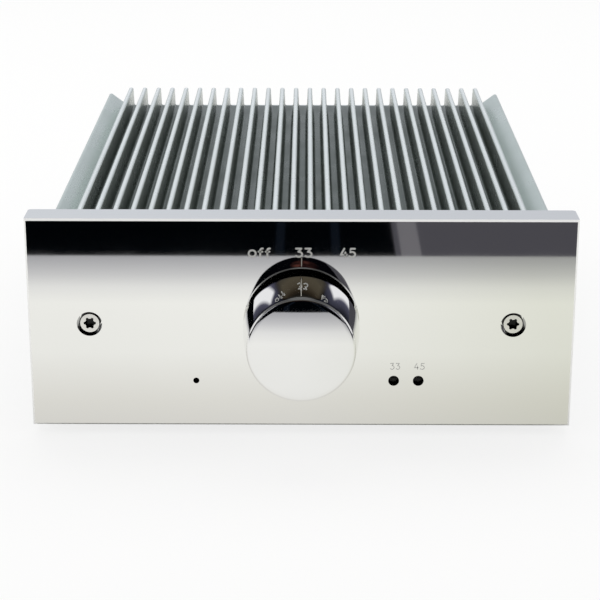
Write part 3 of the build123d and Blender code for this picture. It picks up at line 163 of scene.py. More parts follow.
class StageSettings(bpy.types.PropertyGroup):
    """Floor and camera."""

    lens: number("Lens", "Focal length in mm", 109.66, 20, 300)
    pitch: number("Pitch", "Camera angle below the horizon, in degrees", 18.9516, -90, 90)
    yaw: number("Yaw", "Camera angle to the right, in degrees", -0.209, -90, 90)
    roll: number("Roll", "Camera roll, in degrees", 0.084, -90, 90)
    camera: bpy.props.FloatVectorProperty(
        name="Camera place", description="Camera from the foot of the panel's front face",
        default=(0.00198, -0.69288, 0.29236), size=3, subtype="TRANSLATION", unit="LENGTH")
    floor: tint("Floor", "Colour of the floor", (0.80, 0.80, 0.79))
    table_edge: length("Table edge", "Front edge of the white table from the panel", 242.6, 2000)


SETTINGS = {
    "finish": FinishSettings,
    "knob": KnobSettings,
    "heatsink": HeatsinkSettings,
    "lettering": LetteringSettings,
    "stage": StageSettings,
}


def settings(name):
    """The scene's settings of that name."""
    return getattr(bpy.context.scene, "controller_" + name)


# ------------------------------------------------------------------ shader trees
class Tree:
    """Small builder for shader trees."""

    def __init__(self, tree):
        self.tree = tree

    def link(self, out, socket):
        """Joins an output to an input."""
        self.tree.links.new(out, socket)

    def feed(self, socket, value):
        """Joins an output to an input, or sets the input to a plain value."""
        if isinstance(value, bpy.types.NodeSocket):
            self.link(value, socket)
        elif socket.type == "RGBA":
            socket.default_value = (*value[:3], 1.0)
        else:
            socket.default_value = value

    def node(self, kind, inputs=None, **attributes):
        """A new node with its attributes set and its inputs fed, by name or number."""
        made = self.tree.nodes.new(kind)
        for key, value in attributes.items():
            setattr(made, key, value)
        for key, value in (inputs or {}).items():
            self.feed(made.inputs[key], value)
        return made

    def group(self, group, inputs):
        """A node that uses a shared group."""
        return self.node("ShaderNodeGroup", inputs, node_tree=group)

    def coordinates(self, kind="Object"):
        """Texture coordinates of a kind."""
        return self.node("ShaderNodeTexCoord").outputs[kind]

    def split(self, vector):
        """The X, Y and Z of a vector."""
        return tuple(self.node("ShaderNodeSeparateXYZ", {0: vector}).outputs)

    def noise(self, scale, detail=2.0, vector=None):
        """Noise value, over generated coordinates if no vector is given."""
        made = self.node("ShaderNodeTexNoise", {"Scale": scale, "Detail": detail})
        if vector is not None:
            self.link(vector, made.inputs["Vector"])
        return made.outputs["Fac"]

    def math(self, operation, first, second=None, clamp=False):
        """A Math node on outputs or plain numbers."""
        inputs = {0: first} if second is None else {0: first, 1: second}
        return self.node("ShaderNodeMath", inputs, operation=operation, use_clamp=clamp).outputs[0]

    def add(self, first, second, clamp=False):
        """Sum of two values."""
        return self.math("ADD", first, second, clamp)

    def subtract(self, first, second):
        """Difference of two values."""
        return self.math("SUBTRACT", first, second)

    def times(self, first, second):
        """Product of two values."""
        return self.math("MULTIPLY", first, second)

    def within(self, value, limit):
        """One where a value lies between a limit and its negative, else zero."""
        return self.math("LESS_THAN", self.math("ABSOLUTE", value), limit)

    def between(self, value, low, high, soft):
        """One between two limits and zero outside, with soft edges."""
        return self.times(self.span(value, low - soft, low + soft),
                          self.span(value, high - soft, high + soft, 1.0, 0.0))

    def span(self, value, low, high, to_low=0.0, to_high=1.0):
        """Maps a value from one span to another, clamped."""
        return self.node("ShaderNodeMapRange", {
            "Value": value, "From Min": low, "From Max": high, "To Min": to_low,
            "To Max": to_high}).outputs["Result"]

    def ramp(self, value, stops, interpolation="LINEAR"):
        """Colour ramp from (position, linear RGB) stops over an output."""
        made = self.node("ShaderNodeValToRGB", {"Fac": value})
        made.color_ramp.interpolation = interpolation
        elements = made.color_ramp.elements
        elements.remove(elements[-1])
        elements[0].position = stops[0][0]
        elements[0].color = (*stops[0][1], 1.0)
        for position, colour in stops[1:]:
            elements.new(position).color = (*colour, 1.0)
        return made.outputs["Color"]

    def band(self, value, low, high, stops, interpolation="LINEAR"):
        """Colour by a coordinate, from (coordinate, colour) stops between two limits."""
        shares = [((at - low) / (high - low), colour) for at, colour in stops]
        return self.ramp(self.span(value, low, high), shares, interpolation)

    def multiply(self, first, second):
        """Product of two vectors or colours, part by part."""
        return self.node("ShaderNodeVectorMath", {0: first, 1: second},
                         operation="MULTIPLY").outputs[0]

    def mix_value(self, factor, first, second):
        """Mix of a value with a plain number."""
        return self.add(self.times(first, self.subtract(1.0, factor)), self.times(factor, second))

    def mix(self, factor, first, second):
        """Mix of two colours, each an output or a plain colour."""
        made = self.node("ShaderNodeMix", data_type="RGBA")
        ports = {"Factor": factor, "A": first, "B": second}
        for socket in made.inputs:
            if socket.enabled and socket.name in ports:
                self.feed(socket, ports[socket.name])
        return next(out for out in made.outputs if out.enabled)


def shading(material):
    """Tree builder and shader inputs of a material."""
    nodes = material.node_tree.nodes
    return Tree(material.node_tree), nodes["Principled BSDF"].inputs


def source(socket):
    """The output that feeds an input."""
    return socket.links[0].from_socket


# ------------------------------------------------------------------ shared node groups
SOCKET_KINDS = {1: "NodeSocketFloat", 3: "NodeSocketVector", 4: "NodeSocketColor"}
WHITE = (1.0, 1.0, 1.0, 1.0)
MARK_SCALE = 38.0               # handling marks per metre
MARK_SPAN = (0.42, 0.72)        # noise values from clean to marked
MARK_GLOSS = (0.88, 1.18)       # factors on the roughness, from clean to marked
DRIFT_SPAN = (0.3, 0.7)         # noise values from the light to the dark tone


def node_group(name, inputs, outputs, build):
    """A shader node group, built once, with sockets by name and default value."""
    group = bpy.data.node_groups.get(name)
    if group:
        return group
    group = bpy.data.node_groups.new(name, "ShaderNodeTree")
    for way, sockets in (("INPUT", inputs), ("OUTPUT", outputs)):
        for label, default in sockets.items():
            kind = SOCKET_KINDS[1 if isinstance(default, float) else len(default)]
            socket = group.interface.new_socket(label, in_out=way, socket_type=kind)
            socket.default_value = default
    entry = group.nodes.new("NodeGroupInput")
    leave = group.nodes.new("NodeGroupOutput")
    build(Tree(group), entry.outputs, leave.inputs)
    return group


def build_surface_detail(tree, given, gives):
    """Grain, drawn lines and faint handling marks, from object coordinates."""
    place = tree.coordinates()
    lines = tree.noise(given["Line Scale"], 4.0, tree.multiply(place, given["Line Stretch"]))
    grain = tree.noise(given["Grain Scale"], 2.0, place)
    marked = tree.span(tree.noise(MARK_SCALE, 5.0, place), *MARK_SPAN)
    height = tree.add(tree.times(lines, given["Line Amount"]),
                      tree.times(grain, given["Grain Amount"]))
    rough = tree.span(marked, 0.0, 1.0, *(tree.times(given["Roughness"], factor)
                                          for factor in MARK_GLOSS))
    streaks = tree.times(tree.subtract(lines, 0.5), given["Line Gloss"])
    tree.link(height, gives["Height"])
    tree.link(tree.add(rough, streaks, clamp=True), gives["Roughness"])


def surface_detail():
    """Shared group: surface grain, drawn lines and marks."""
    return node_group("surface_detail", {
        "Roughness": 0.3, "Line Stretch": (1.0, 1.0, 1.0), "Line Scale": 900.0,
        "Line Amount": 0.5, "Line Gloss": 0.0, "Grain Scale": 2500.0, "Grain Amount": 0.5,
    }, {"Height": 0.0, "Roughness": 0.3}, build_surface_detail)


def build_tone(tree, given, gives):
    """A colour that drifts slowly between two tones over the surface."""
    drift = tree.noise(given["Scale"], 3.0, tree.coordinates())
    tree.link(tree.mix(tree.span(drift, *DRIFT_SPAN), given["Light"], given["Dark"]),
              gives["Color"])


def tone():
    """Shared group: a slow drift between two tones."""
    return node_group("tone_drift", {"Light": WHITE, "Dark": WHITE, "Scale": 30.0},
                      {"Color": WHITE}, build_tone)


def build_painted_depth_shade(tree, given, gives):
    """Painted shade: a colour that gives way to another one with depth along a direction."""
    along = tree.node("ShaderNodeVectorMath", {0: tree.coordinates(), 1: given["Direction"]},
                      operation="DOT_PRODUCT")
    depth = tree.span(along.outputs["Value"], given["Start"], given["End"])
    tree.link(tree.mix(depth, given["Color"], given["Deep"]), gives["Color"])


def painted_depth_shade():
    """Shared group: painted shade that deepens along a direction."""
    return node_group("painted_depth_shade", {
        "Color": WHITE, "Deep": WHITE, "Direction": (0.0, 0.0, -1.0), "Start": 0.0, "End": 1.0,
    }, {"Color": WHITE}, build_painted_depth_shade)


def build_painted_fin_shade(tree, given, gives):
    """Painted shade on the fins' flanks and in the channels, and a lower tone on the shoulders."""
    x, _, z = tree.split(tree.coordinates())
    turn = tree.math("FRACT", tree.math("DIVIDE", x, given["Pitch"]))
    offset = tree.times(tree.math("ABSOLUTE", tree.subtract(turn, 0.5)), given["Pitch"])
    flank = tree.span(offset, given["Crest Half"], given["Flank Half"])
    depth = tree.math("POWER", tree.span(z, given["Crest Level"], given["Channel Level"]),
                      given["Curve"])
    # The crests keep the full colour as a painted highlight; painted shade on flanks and channel
    # floors
    fins = tree.mix(depth, tree.mix(flank, WHITE, given["Flank"]), given["Channel"])
    factor = tree.mix(tree.within(x, given["Half Width"]), given["Shoulder"], fins)
    tree.link(tree.multiply(given["Color"], factor), gives["Color"])


def painted_fin_shade():
    """Shared group: painted highlight and shade of a finned section that runs along Y."""
    return node_group("painted_fin_shade", {
        "Color": WHITE, "Flank": WHITE, "Channel": WHITE, "Shoulder": WHITE, "Pitch": 0.007,
        "Crest Half": 0.0004, "Flank Half": 0.001, "Crest Level": 0.01, "Channel Level": 0.0,
        "Curve": 1.0, "Half Width": 10.0,
    }, {"Color": WHITE}, build_painted_fin_shade)


# ------------------------------------------------------------------ finishes
def finish(name, colour, roughness, metallic=0.0, drift=0.93, drift_scale=30.0,
           stretch=(1.0, 1.0, 1.0), line_scale=900.0, line_amount=0.0, line_gloss=0.0,
           grain_scale=2500.0, grain_amount=0.5, bump=0.05, depth=0.00002, coat=0.0,
           specular=0.5, transmission=0.0):
    """A material with tone drift, roughness variation and fine relief."""
    material = bpy.data.materials.new(name)
    material.use_nodes = True
    tree, sockets = shading(material)
    for label, value in (("Metallic", metallic), ("Coat Weight", coat), ("Coat Roughness", 0.12),
                         ("Specular IOR Level", specular), ("Transmission Weight", transmission)):
        sockets[label].default_value = value
    tones = tree.group(tone(), {"Light": colour, "Dark": [part * drift for part in colour],
                                "Scale": drift_scale})
    detail = tree.group(surface_detail(), {
        "Roughness": roughness, "Line Stretch": stretch, "Line Scale": line_scale,
        "Line Amount": line_amount, "Line Gloss": line_gloss, "Grain Scale": grain_scale,
        "Grain Amount": grain_amount})
    relief = tree.node("ShaderNodeBump", {"Strength": bump, "Distance": depth,
                                          "Height": detail.outputs["Height"]})
    tree.link(tones.outputs["Color"], sockets["Base Color"])
    tree.link(detail.outputs["Roughness"], sockets["Roughness"])
    tree.link(relief.outputs["Normal"], sockets["Normal"])
    return material


def recolour(material, group, inputs):
    """Passes a finish's colour through a shared group."""
    tree, sockets = shading(material)
    base = sockets["Base Color"]
    tree.link(tree.group(group, {"Color": source(base), **inputs}).outputs["Color"], base)


def moulded_black():
    """Black moulded plastic, shared by the switch, the parts on the boards and the inlet."""
    return bpy.data.materials.get("moulded_black") or finish(
        "moulded_black", settings("finish").plastic, 0.46, drift=0.78, drift_scale=110.0,
        grain_scale=3600.0, grain_amount=1.0, bump=0.28)


def coat_nodes(material, names):
    """Gives CAD nodes a material. Their names stand in one text, with spaces between."""
    for name in names.split():
        slots = NODES[name].data.materials
        slots.clear()
        slots.append(material)


def add_piece(name, mesh, material, body):
    """Links a new piece, lets it ride a body and gives it its finish."""
    piece = bpy.data.objects.new(name, mesh)
    bpy.context.scene.collection.objects.link(piece)
    mesh.materials.append(material)
    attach(piece, body)
    return piece


# ------------------------------------------------------------------ mesh helpers
AXIS_RADIUS = 1e-7              # a smaller radius counts as a point on the axis
FILLET_STEPS = 8                # facets of a fillet
FAN_STEP = 15.0                 # degrees between the points of a stroke's round end


def smooth(mesh, degrees):
    """Smooth shading that breaks at edges sharper than an angle."""
    mesh.polygons.foreach_set("use_smooth", [True] * len(mesh.polygons))
    mesh.set_sharp_from_angle(angle=math.radians(degrees))


def rounded(corners):
    """Open profile of (x, y, radius) corners with round fillets."""
    points = []
    for index, (x, y, radius) in enumerate(corners):
        if radius <= 0 or index in (0, len(corners) - 1):
            points.append((x, y))
            continue
        corner = Vector((x, y))
        before = (Vector(corners[index - 1][:2]) - corner).normalized()
        after = (Vector(corners[index + 1][:2]) - corner).normalized()
        half = before.angle(after) / 2
        reach = radius / math.tan(half)
        start, end = corner + before * reach, corner + after * reach
        centre = corner + (before + after).normalized() * (radius / math.sin(half))
        first, last = start - centre, end - centre
        sweep = first.angle(last)
        turn = 1.0 if first.x * last.y - first.y * last.x > 0 else -1.0
        for step in range(FILLET_STEPS + 1):
            angle = turn * sweep * step / FILLET_STEPS
            spun = Matrix.Rotation(angle, 2) @ first
            points.append(tuple(centre + spun))
    return points


def lathe(profile, angles, centre, dent):
    """Turned surface about the line through centre along Y, as a bmesh and its rings.

    The profile is (station toward -Y, radius), dent(station, angle) is taken off the radius.
    """
    work = bmesh.new()
    rings = []
    for station, radius in profile:
        if radius < AXIS_RADIUS:
            rings.append([work.verts.new(centre + Vector((0, -station, 0)))] * len(angles))
            continue
        ring = []
        for angle in angles:
            away = radius - dent(station, angle)
            ring.append(work.verts.new(
                centre + Vector((away * math.sin(angle), -station, away * math.cos(angle)))))
        rings.append(ring)
    for first, second in zip(rings, rings[1:]):
        for index in range(len(angles)):
            corners = (first[index - 1], first[index], second[index], second[index - 1])
            work.faces.new(list(dict.fromkeys(corners)))
    return work, rings


def join_rings(work, outer, inner):
    """Faces between two closed rings of as many points."""
    for index in range(len(outer)):
        work.faces.new((outer[index - 1], outer[index], inner[index], inner[index - 1]))


def pierce(work, window, place, radius, surface, floor):
    """Replaces a window of a turned surface by the same surface with a round hole along Z."""
    inside = {vertex for row in window for vertex in row}
    covered = [face for face in work.faces if inside.issuperset(face.verts)]
    edge = (window[0][:-1] + [row[-1] for row in window[:-1]] + window[-1][:0:-1]
            + [row[0] for row in window[:0:-1]])
    bmesh.ops.delete(work, geom=covered, context="FACES")
    mouth, bottom = [], []
    for vertex in edge:
        away = Vector((vertex.co.x - place[0], vertex.co.y - place[1])).normalized() * radius
        x, y = place[0] + away.x, place[1] + away.y
        mouth.append(work.verts.new((x, y, surface(x, y))))
        bottom.append(work.verts.new((x, y, floor)))
    join_rings(work, edge, mouth)
    join_rings(work, mouth, bottom)
    work.faces.new(bottom)


def mesh_from(work, name, outward=True):
    """Mesh from a bmesh, if wished with all faces looking outward."""
    if outward:
        bmesh.ops.recalc_face_normals(work, faces=work.faces)
    mesh = bpy.data.meshes.new(name)
    work.to_mesh(mesh)
    work.free()
    return mesh


def arc(centre, radii, start, end, steps):
    """Points of an oval arc, angles in degrees from +X, counter-clockwise positive."""
    angles = [math.radians(start + (end - start) * step / steps) for step in range(steps + 1)]
    return [(centre[0] + radii[0] * math.cos(angle), centre[1] + radii[1] * math.sin(angle))
            for angle in angles]


# ------------------------------------------------------------------ lettering strokes
LETTER_GAP = 0.33               # between letters, in units of their height
GLYPHS = {
    # (width, strokes) of the strokes' middle lines, in units of their height
    "o": (0.82, [arc((0.41, 0.39), (0.41, 0.39), 90, 450, 32)]),
    "f": (0.50, [[(0.19, 0.0), *arc((0.42, 0.77), (0.23, 0.23), 180, 75, 8)],
                 [(0.0, 0.62), (0.44, 0.62)]]),
    "3": (0.75, [[(0.06, 1.0), (0.66, 1.0), (0.33, 0.62),
                  *arc((0.36, 0.31), (0.39, 0.31), 85, -140, 20)]]),
    "4": (0.66, [[(0.38, 1.0), (0.0, 0.27), (0.66, 0.27)], [(0.50, 0.56), (0.50, 0.0)]]),
    "5": (0.60, [[(0.56, 1.0), (0.12, 1.0), (0.08, 0.56),
                  *arc((0.23, 0.31), (0.37, 0.31), 108, -138, 20)]]),
}


def fan(middle, start, sweep):
    """Points of an arc about a middle, from a first radius through an angle."""
    steps = max(2, round(abs(math.degrees(sweep)) / FAN_STEP))
    return [middle + Matrix.Rotation(sweep * step / steps, 2) @ start
            for step in range(steps + 1)]


def stroke_side(path, half):
    """One side of a stroke and the round end that it runs into."""
    ways = [(after - before).normalized() for before, after in zip(path, path[1:])]
    lefts = [Vector((-way.y, way.x)) * half for way in ways]
    made = []
    for corner, left, before, after in zip(path[1:], lefts, ways, ways[1:]):
        turn = math.atan2(before.x * after.y - before.y * after.x, before.dot(after))
        if turn < 0:
            made += fan(corner, left, turn)
        else:
            made.append(corner + Matrix.Rotation(turn / 2, 2) @ left / math.cos(turn / 2))
    return made + fan(path[-1], lefts[-1], -math.pi)


def add_stroke(work, line, half, place):
    """Adds a stroke of even width to a bmesh: a ring where its line is closed."""
    path = [Vector(point) for point in line]
    if (path[0] - path[-1]).length < half / 50:
        path.pop()
        inner, outer = [], []
        for index, point in enumerate(path):
            way = (path[(index + 1) % len(path)] - path[index - 1]).normalized()
            across = Vector((-way.y, way.x)) * half
            inner.append(work.verts.new(place(point + across)))
            outer.append(work.verts.new(place(point - across)))
        join_rings(work, outer, inner)
    else:
        outline = stroke_side(path, half) + stroke_side(path[::-1], half)
        work.faces.new([work.verts.new(place(point)) for point in outline])


def lettering_mesh(name, words, place):
    """Flat filled strokes. Each word is (text, left x, base z, height, width, stroke)."""
    work = bmesh.new()
    for text, left_x, base_z, tall, wide, stroke in words:
        unit = tall - stroke
        natural = sum(GLYPHS[letter][0] + LETTER_GAP for letter in text) - LETTER_GAP
        squeeze = (wide - stroke) / (natural * unit)
        pen = 0.0
        for letter in text:
            width, strokes = GLYPHS[letter]
            for points in strokes:
                line = [(left_x + stroke / 2 + (pen + x) * unit * squeeze,
                         base_z + stroke / 2 + z * unit) for x, z in points]
                add_stroke(work, line, stroke / 2, place)
            pen += width + LETTER_GAP
    return mesh_from(work, name, outward=False)


# ------------------------------------------------------------------ front panel and lettering
# Painted shade inside the panel's holes and on the sunk screws
PAINTED_HOLE_SHADE = (0.02, 0.02, 0.02)
EDGE_MARGIN = 2.0 * MM          # walls nearer to the panel's outline belong to its edges
WALL_SLOPE = 0.5                # a face whose normal has less Y than this is a wall
BEVEL_SLOPE = 0.3               # least lean of the upper bevel, forward and upward
# text, left edge and width in mm from the panel's middle, and whether it is a small number
PANEL_WORDS = (
    ("off", -21.36, 9.26, False),
    ("33", -2.72, 7.11, False),
    ("45", 15.27, 6.44, False),
    ("33", 35.95, 4.2, True),
    ("45", 45.80, 4.3, True),
)
FILLING = dict(drift=0.9, drift_scale=400.0, grain_scale=6000.0, bump=0.2, specular=0.35)


class CONTROLLER_OT_front_panel(bpy.types.Operator):
    """Mirror polish of the front panel"""

    bl_idname = "controller.front_panel"
    bl_label = "Front panel"

    def execute(self, context):
        look = settings("finish")
        material = finish("polished_panel", look.polish, look.polish_roughness, metallic=1.0,
                          drift=0.985, drift_scale=14.0, stretch=(1.0, 1.0, 60.0),
                          line_scale=30.0, line_amount=0.15, grain_scale=700.0,
                          grain_amount=0.25, bump=0.02, depth=0.00001)
        coat_nodes(material, "front_panel")
        self.grind_bevel(material, look.bevel_roughness)
        self.paint_hole_shade(material)
        return {"FINISHED"}

    def grind_bevel(self, material, roughness):
        """Satin finish on the upper bevel, found by its slope."""
        tree, sockets = shading(material)
        _, forward, upward = tree.split(tree.coordinates("Normal"))
        sloping = tree.times(tree.math("LESS_THAN", forward, -BEVEL_SLOPE),
                             tree.math("GREATER_THAN", upward, BEVEL_SLOPE))
        rough = sockets["Roughness"]
        tree.link(tree.mix_value(sloping, source(rough), roughness), rough)
        tree.link(tree.subtract(1.0, sloping), sockets["Metallic"])

    def paint_hole_shade(self, material):
        """Painted shade: dark walls inside the holes, which lie within the panel's outline."""
        tree, sockets = shading(material)
        _, facing, _ = tree.split(tree.coordinates("Normal"))
        x, _, z = tree.split(tree.coordinates())
        middle, size = (PANEL_LOW + PANEL_HIGH) / 2, PANEL_HIGH - PANEL_LOW
        inner = tree.times(tree.within(tree.subtract(z, middle.z), size.z / 2 - EDGE_MARGIN),
                           tree.within(x, size.x / 2 - EDGE_MARGIN))
        hole = tree.times(tree.within(facing, WALL_SLOPE), inner)
        base = sockets["Base Color"]
        tree.link(tree.mix(hole, source(base), PAINTED_HOLE_SHADE), base)


class CONTROLLER_OT_lettering(bpy.types.Operator):
    """Speed marks round the selector and numbers over the trimmers"""

    bl_idname = "controller.lettering"
    bl_label = "Lettering"

    def execute(self, context):
        size = settings("lettering")
        words = []
        for text, left, wide, small in PANEL_WORDS:
            base, tall, stroke = ((size.small_base, size.small_height, size.small_stroke) if small
                                  else (size.base, size.height, size.stroke))
            words.append((text, left * MM, PANEL_BASE + base, tall, wide * MM, stroke))

        def place(point):
            """From the panel's plane to the frame."""
            return Vector((point.x, PANEL_FRONT - size.proud, point.y))

        mesh = lettering_mesh("panel_lettering", words, place)
        material = finish("filled_lettering", settings("finish").lettering, 0.62, **FILLING)
        add_piece("panel_lettering", mesh, material, CASE_BODY)
        return {"FINISHED"}


# ------------------------------------------------------------------ knob
LINE_WALL = 0.02 * MM           # run of the index line's end walls
LINE_FOOT = 0.97                # half width of the line's floor, of that of its mouth
LINE_CLEAR = 1.3                # columns nearer than this many half widths give way to the line
FLANK_SHARES = (0.02, 0.55, 0.65, 0.75, 0.85, 0.95)     # further rows along the flank
WINDOW_FACTOR = 1.5             # half size of the window round the grub hole, of its radius
WINDOW_STEPS = 4                # rows on each side of the hole's middle
DOME_STEPS = 10
KNOB_CREASE = 25.0              # degrees
FILLING_HALF = 0.22             # half width of the filling, of the line's width
FILLING_DEPTH = 0.6             # of the line's depth
FILLING_STEPS = 8
FILLING_ENDS = (0.02, 0.98)     # shares of the line's length


def knob_flank(size, station):
    """Radius of the knob's tapered and slightly swelling flank at a station."""
    share = (station - size.gap) / (size.reach - size.dome - size.gap)
    cone = size.rear_radius + (size.front_radius - size.rear_radius) * share
    return cone + 4 * size.bulge * share * (1 - share)


def index_line(size):
    """First and last station of the index line."""
    return (size.gap + size.rear_bevel + size.line_margin,
            size.reach - size.dome - size.edge_radius - size.line_margin)


def knob_profile(size):
    """Half section of the knob, from the bore's end round the rear and the flank to the face."""
    rim, small = size.reach - size.dome, size.break_radius
    low, high = index_line(size)
    bevel_end = size.gap + size.rear_bevel
    window = WINDOW_FACTOR * size.grub_radius
    stations = [low, low + LINE_WALL, high - LINE_WALL, high]
    stations += [size.grub_station + window * step / WINDOW_STEPS
                 for step in range(-WINDOW_STEPS, WINDOW_STEPS + 1)]
    stations += [low + (high - low) * share for share in FLANK_SHARES]
    corners = [(size.bore_end, 0, 0), (size.bore_end, size.bore_radius, 0),
               (size.recess_end, size.bore_radius, small),
               (size.recess_end, size.recess_radius, small),
               (size.gap, size.recess_radius, small),
               (size.gap, size.rear_radius - size.rear_bevel, small),
               (bevel_end, knob_flank(size, bevel_end), small)]
    corners += [(station, knob_flank(size, station), 0) for station in sorted(stations)]
    corners.append((rim, size.front_radius, size.edge_radius))
    shares = [step / DOME_STEPS for step in range(DOME_STEPS - 1, -1, -1)]
    corners += [(size.reach - size.dome * share ** 2, size.front_radius * share, 0)
                for share in shares]
    return rounded(corners)


def turned_knob(size, centre):
    """Hollow tapered knob with an index line on top and a grub screw's hole below."""
    profile = knob_profile(size)
    low, high = index_line(size)
    half = size.line_width / 2 / knob_flank(size, low)
    foot = LINE_FOOT * half
    step = 2 * math.pi / size.columns
    angles = [index * step for index in range(size.columns)]
    angles = [a for a in angles if min(a, 2 * math.pi - a) > LINE_CLEAR * half]
    angles += [0.0, foot, half, 2 * math.pi - foot, 2 * math.pi - half]
    angles.sort()

    def dent(station, angle):
        near = min(angle, 2 * math.pi - angle) < (foot + half) / 2
        sunk = near and low < station - LINE_WALL / 2 < high - LINE_WALL
        return size.line_depth if sunk else 0.0

    work, rings = lathe(profile, angles, centre, dent)
    window = WINDOW_FACTOR * size.grub_radius
    columns = round(window / knob_flank(size, size.grub_station) / step)
    middle = min(range(len(angles)), key=lambda index: abs(angles[index] - math.pi))
    rows = [index for index, (station, radius) in enumerate(profile)
            if abs(station - size.grub_station) < window + LINE_WALL / 2
            and radius > size.front_radius]
    patch = [rings[row][middle - columns:middle + columns + 1] for row in rows]

    def underside(x, y):
        return centre.z - math.sqrt(knob_flank(size, centre.y - y) ** 2 - (x - centre.x) ** 2)

    pierce(work, patch, (centre.x, centre.y - size.grub_station), size.grub_radius, underside,
           centre.z - size.grub_floor)
    return mesh_from(work, "turned_knob")


def line_filling(size):
    """Narrow strip along the floor of the index line."""
    low, high = index_line(size)
    half, depth = FILLING_HALF * size.line_width, FILLING_DEPTH * size.line_depth
    start, end = FILLING_ENDS
    work = bmesh.new()
    rows = []
    for step in range(FILLING_STEPS + 1):
        station = low + (high - low) * (start + (end - start) * step / FILLING_STEPS)
        level = SELECTOR_AXIS.z + knob_flank(size, station) - depth
        rows.append([work.verts.new((SELECTOR_AXIS.x + side * half, PANEL_FRONT - station, level))
                     for side in (-1, 1)])
    for first, second in zip(rows, rows[1:]):
        work.faces.new((first[0], first[1], second[1], second[0]))
    return mesh_from(work, "index_line")


class CONTROLLER_OT_knob(bpy.types.Operator):
    """Turned and polished selector knob with a filled index line"""

    bl_idname = "controller.knob"
    bl_label = "Selector knob"

    def execute(self, context):
        look, size = settings("finish"), settings("knob")
        mesh = turned_knob(size, Vector((SELECTOR_AXIS.x, PANEL_FRONT, SELECTOR_AXIS.z)))
        smooth(mesh, KNOB_CREASE)
        material = finish("polished_knob", look.knob, look.knob_roughness, metallic=1.0,
                          drift=0.985, drift_scale=40.0, stretch=(1.0, 60.0, 1.0),
                          line_scale=40.0, line_amount=0.2, grain_scale=900.0,
                          grain_amount=0.2, bump=0.015, depth=0.00001)
        piece = add_piece("turned_knob", mesh, material, SELECTOR_BODY)
        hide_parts("knob")
        filling = finish("index_filling", (0.40, 0.39, 0.35), 0.6, **FILLING)
        add_piece("index_line", line_filling(size), filling, SELECTOR_BODY)
        return {"FINISHED"}


# ------------------------------------------------------------------ finishes of the CAD nodes
SCREW_SHADE = (1.1 * MM, 1.4 * MM)      # depths behind the panel's face


class CONTROLLER_OT_heatsink(bpy.types.Operator):
    """Matt anodised heatsink with drawn lines, a painted highlight and painted shade along the
    fins
    """

    bl_idname = "controller.heatsink"
    bl_label = "Heatsink"

    def execute(self, context):
        look, size = settings("finish"), settings("heatsink")
        material = finish("anodised_heatsink", look.anodised, look.anodised_roughness,
                          metallic=0.75, drift=0.94, drift_scale=22.0, stretch=(1.0, 0.02, 1.0),
                          line_scale=1400.0, line_amount=0.6, line_gloss=0.06,
                          grain_scale=5200.0, grain_amount=0.3, bump=0.03)
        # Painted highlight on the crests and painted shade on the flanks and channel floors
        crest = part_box("heatsink")[1][2]
        recolour(material, painted_fin_shade(), {
            "Flank": size.flank, "Channel": size.channel, "Shoulder": size.shoulder,
            "Pitch": size.pitch, "Crest Half": size.crest_half, "Flank Half": size.flank_half,
            "Crest Level": crest, "Channel Level": crest - size.fin_height,
            "Curve": size.curve, "Half Width": size.fins_half})
        coat_nodes(material, "heatsink")
        return {"FINISHED"}


class CONTROLLER_OT_case(bpy.types.Operator):
    """Matt anodised walls, base plate and rear panel, and the rubber feet"""

    bl_idname = "controller.case"
    bl_label = "Case"

    def execute(self, context):
        look = settings("finish")
        coat_nodes(finish(
            "anodised_walls", look.case, 0.34, metallic=1.0, drift=0.94, drift_scale=16.0,
            stretch=(1.0, 0.02, 1.0), line_scale=1300.0, line_amount=0.6, line_gloss=0.06,
            grain_scale=5200.0, grain_amount=0.3, bump=0.04), "left_wall right_wall")
        coat_nodes(finish(
            "brushed_plates", look.case, 0.36, metallic=1.0, drift=0.95, drift_scale=18.0,
            stretch=(0.02, 1.0, 1.0), line_scale=1500.0, line_amount=0.6, line_gloss=0.07,
            grain_scale=5200.0, grain_amount=0.3, bump=0.04), "base_plate rear_panel")
        coat_nodes(finish(
            "foot_rubber_finish", look.rubber, 0.72, drift=0.8, drift_scale=160.0,
            grain_scale=3800.0, grain_amount=1.0, bump=0.35, specular=0.3), "feet")
        return {"FINISHED"}


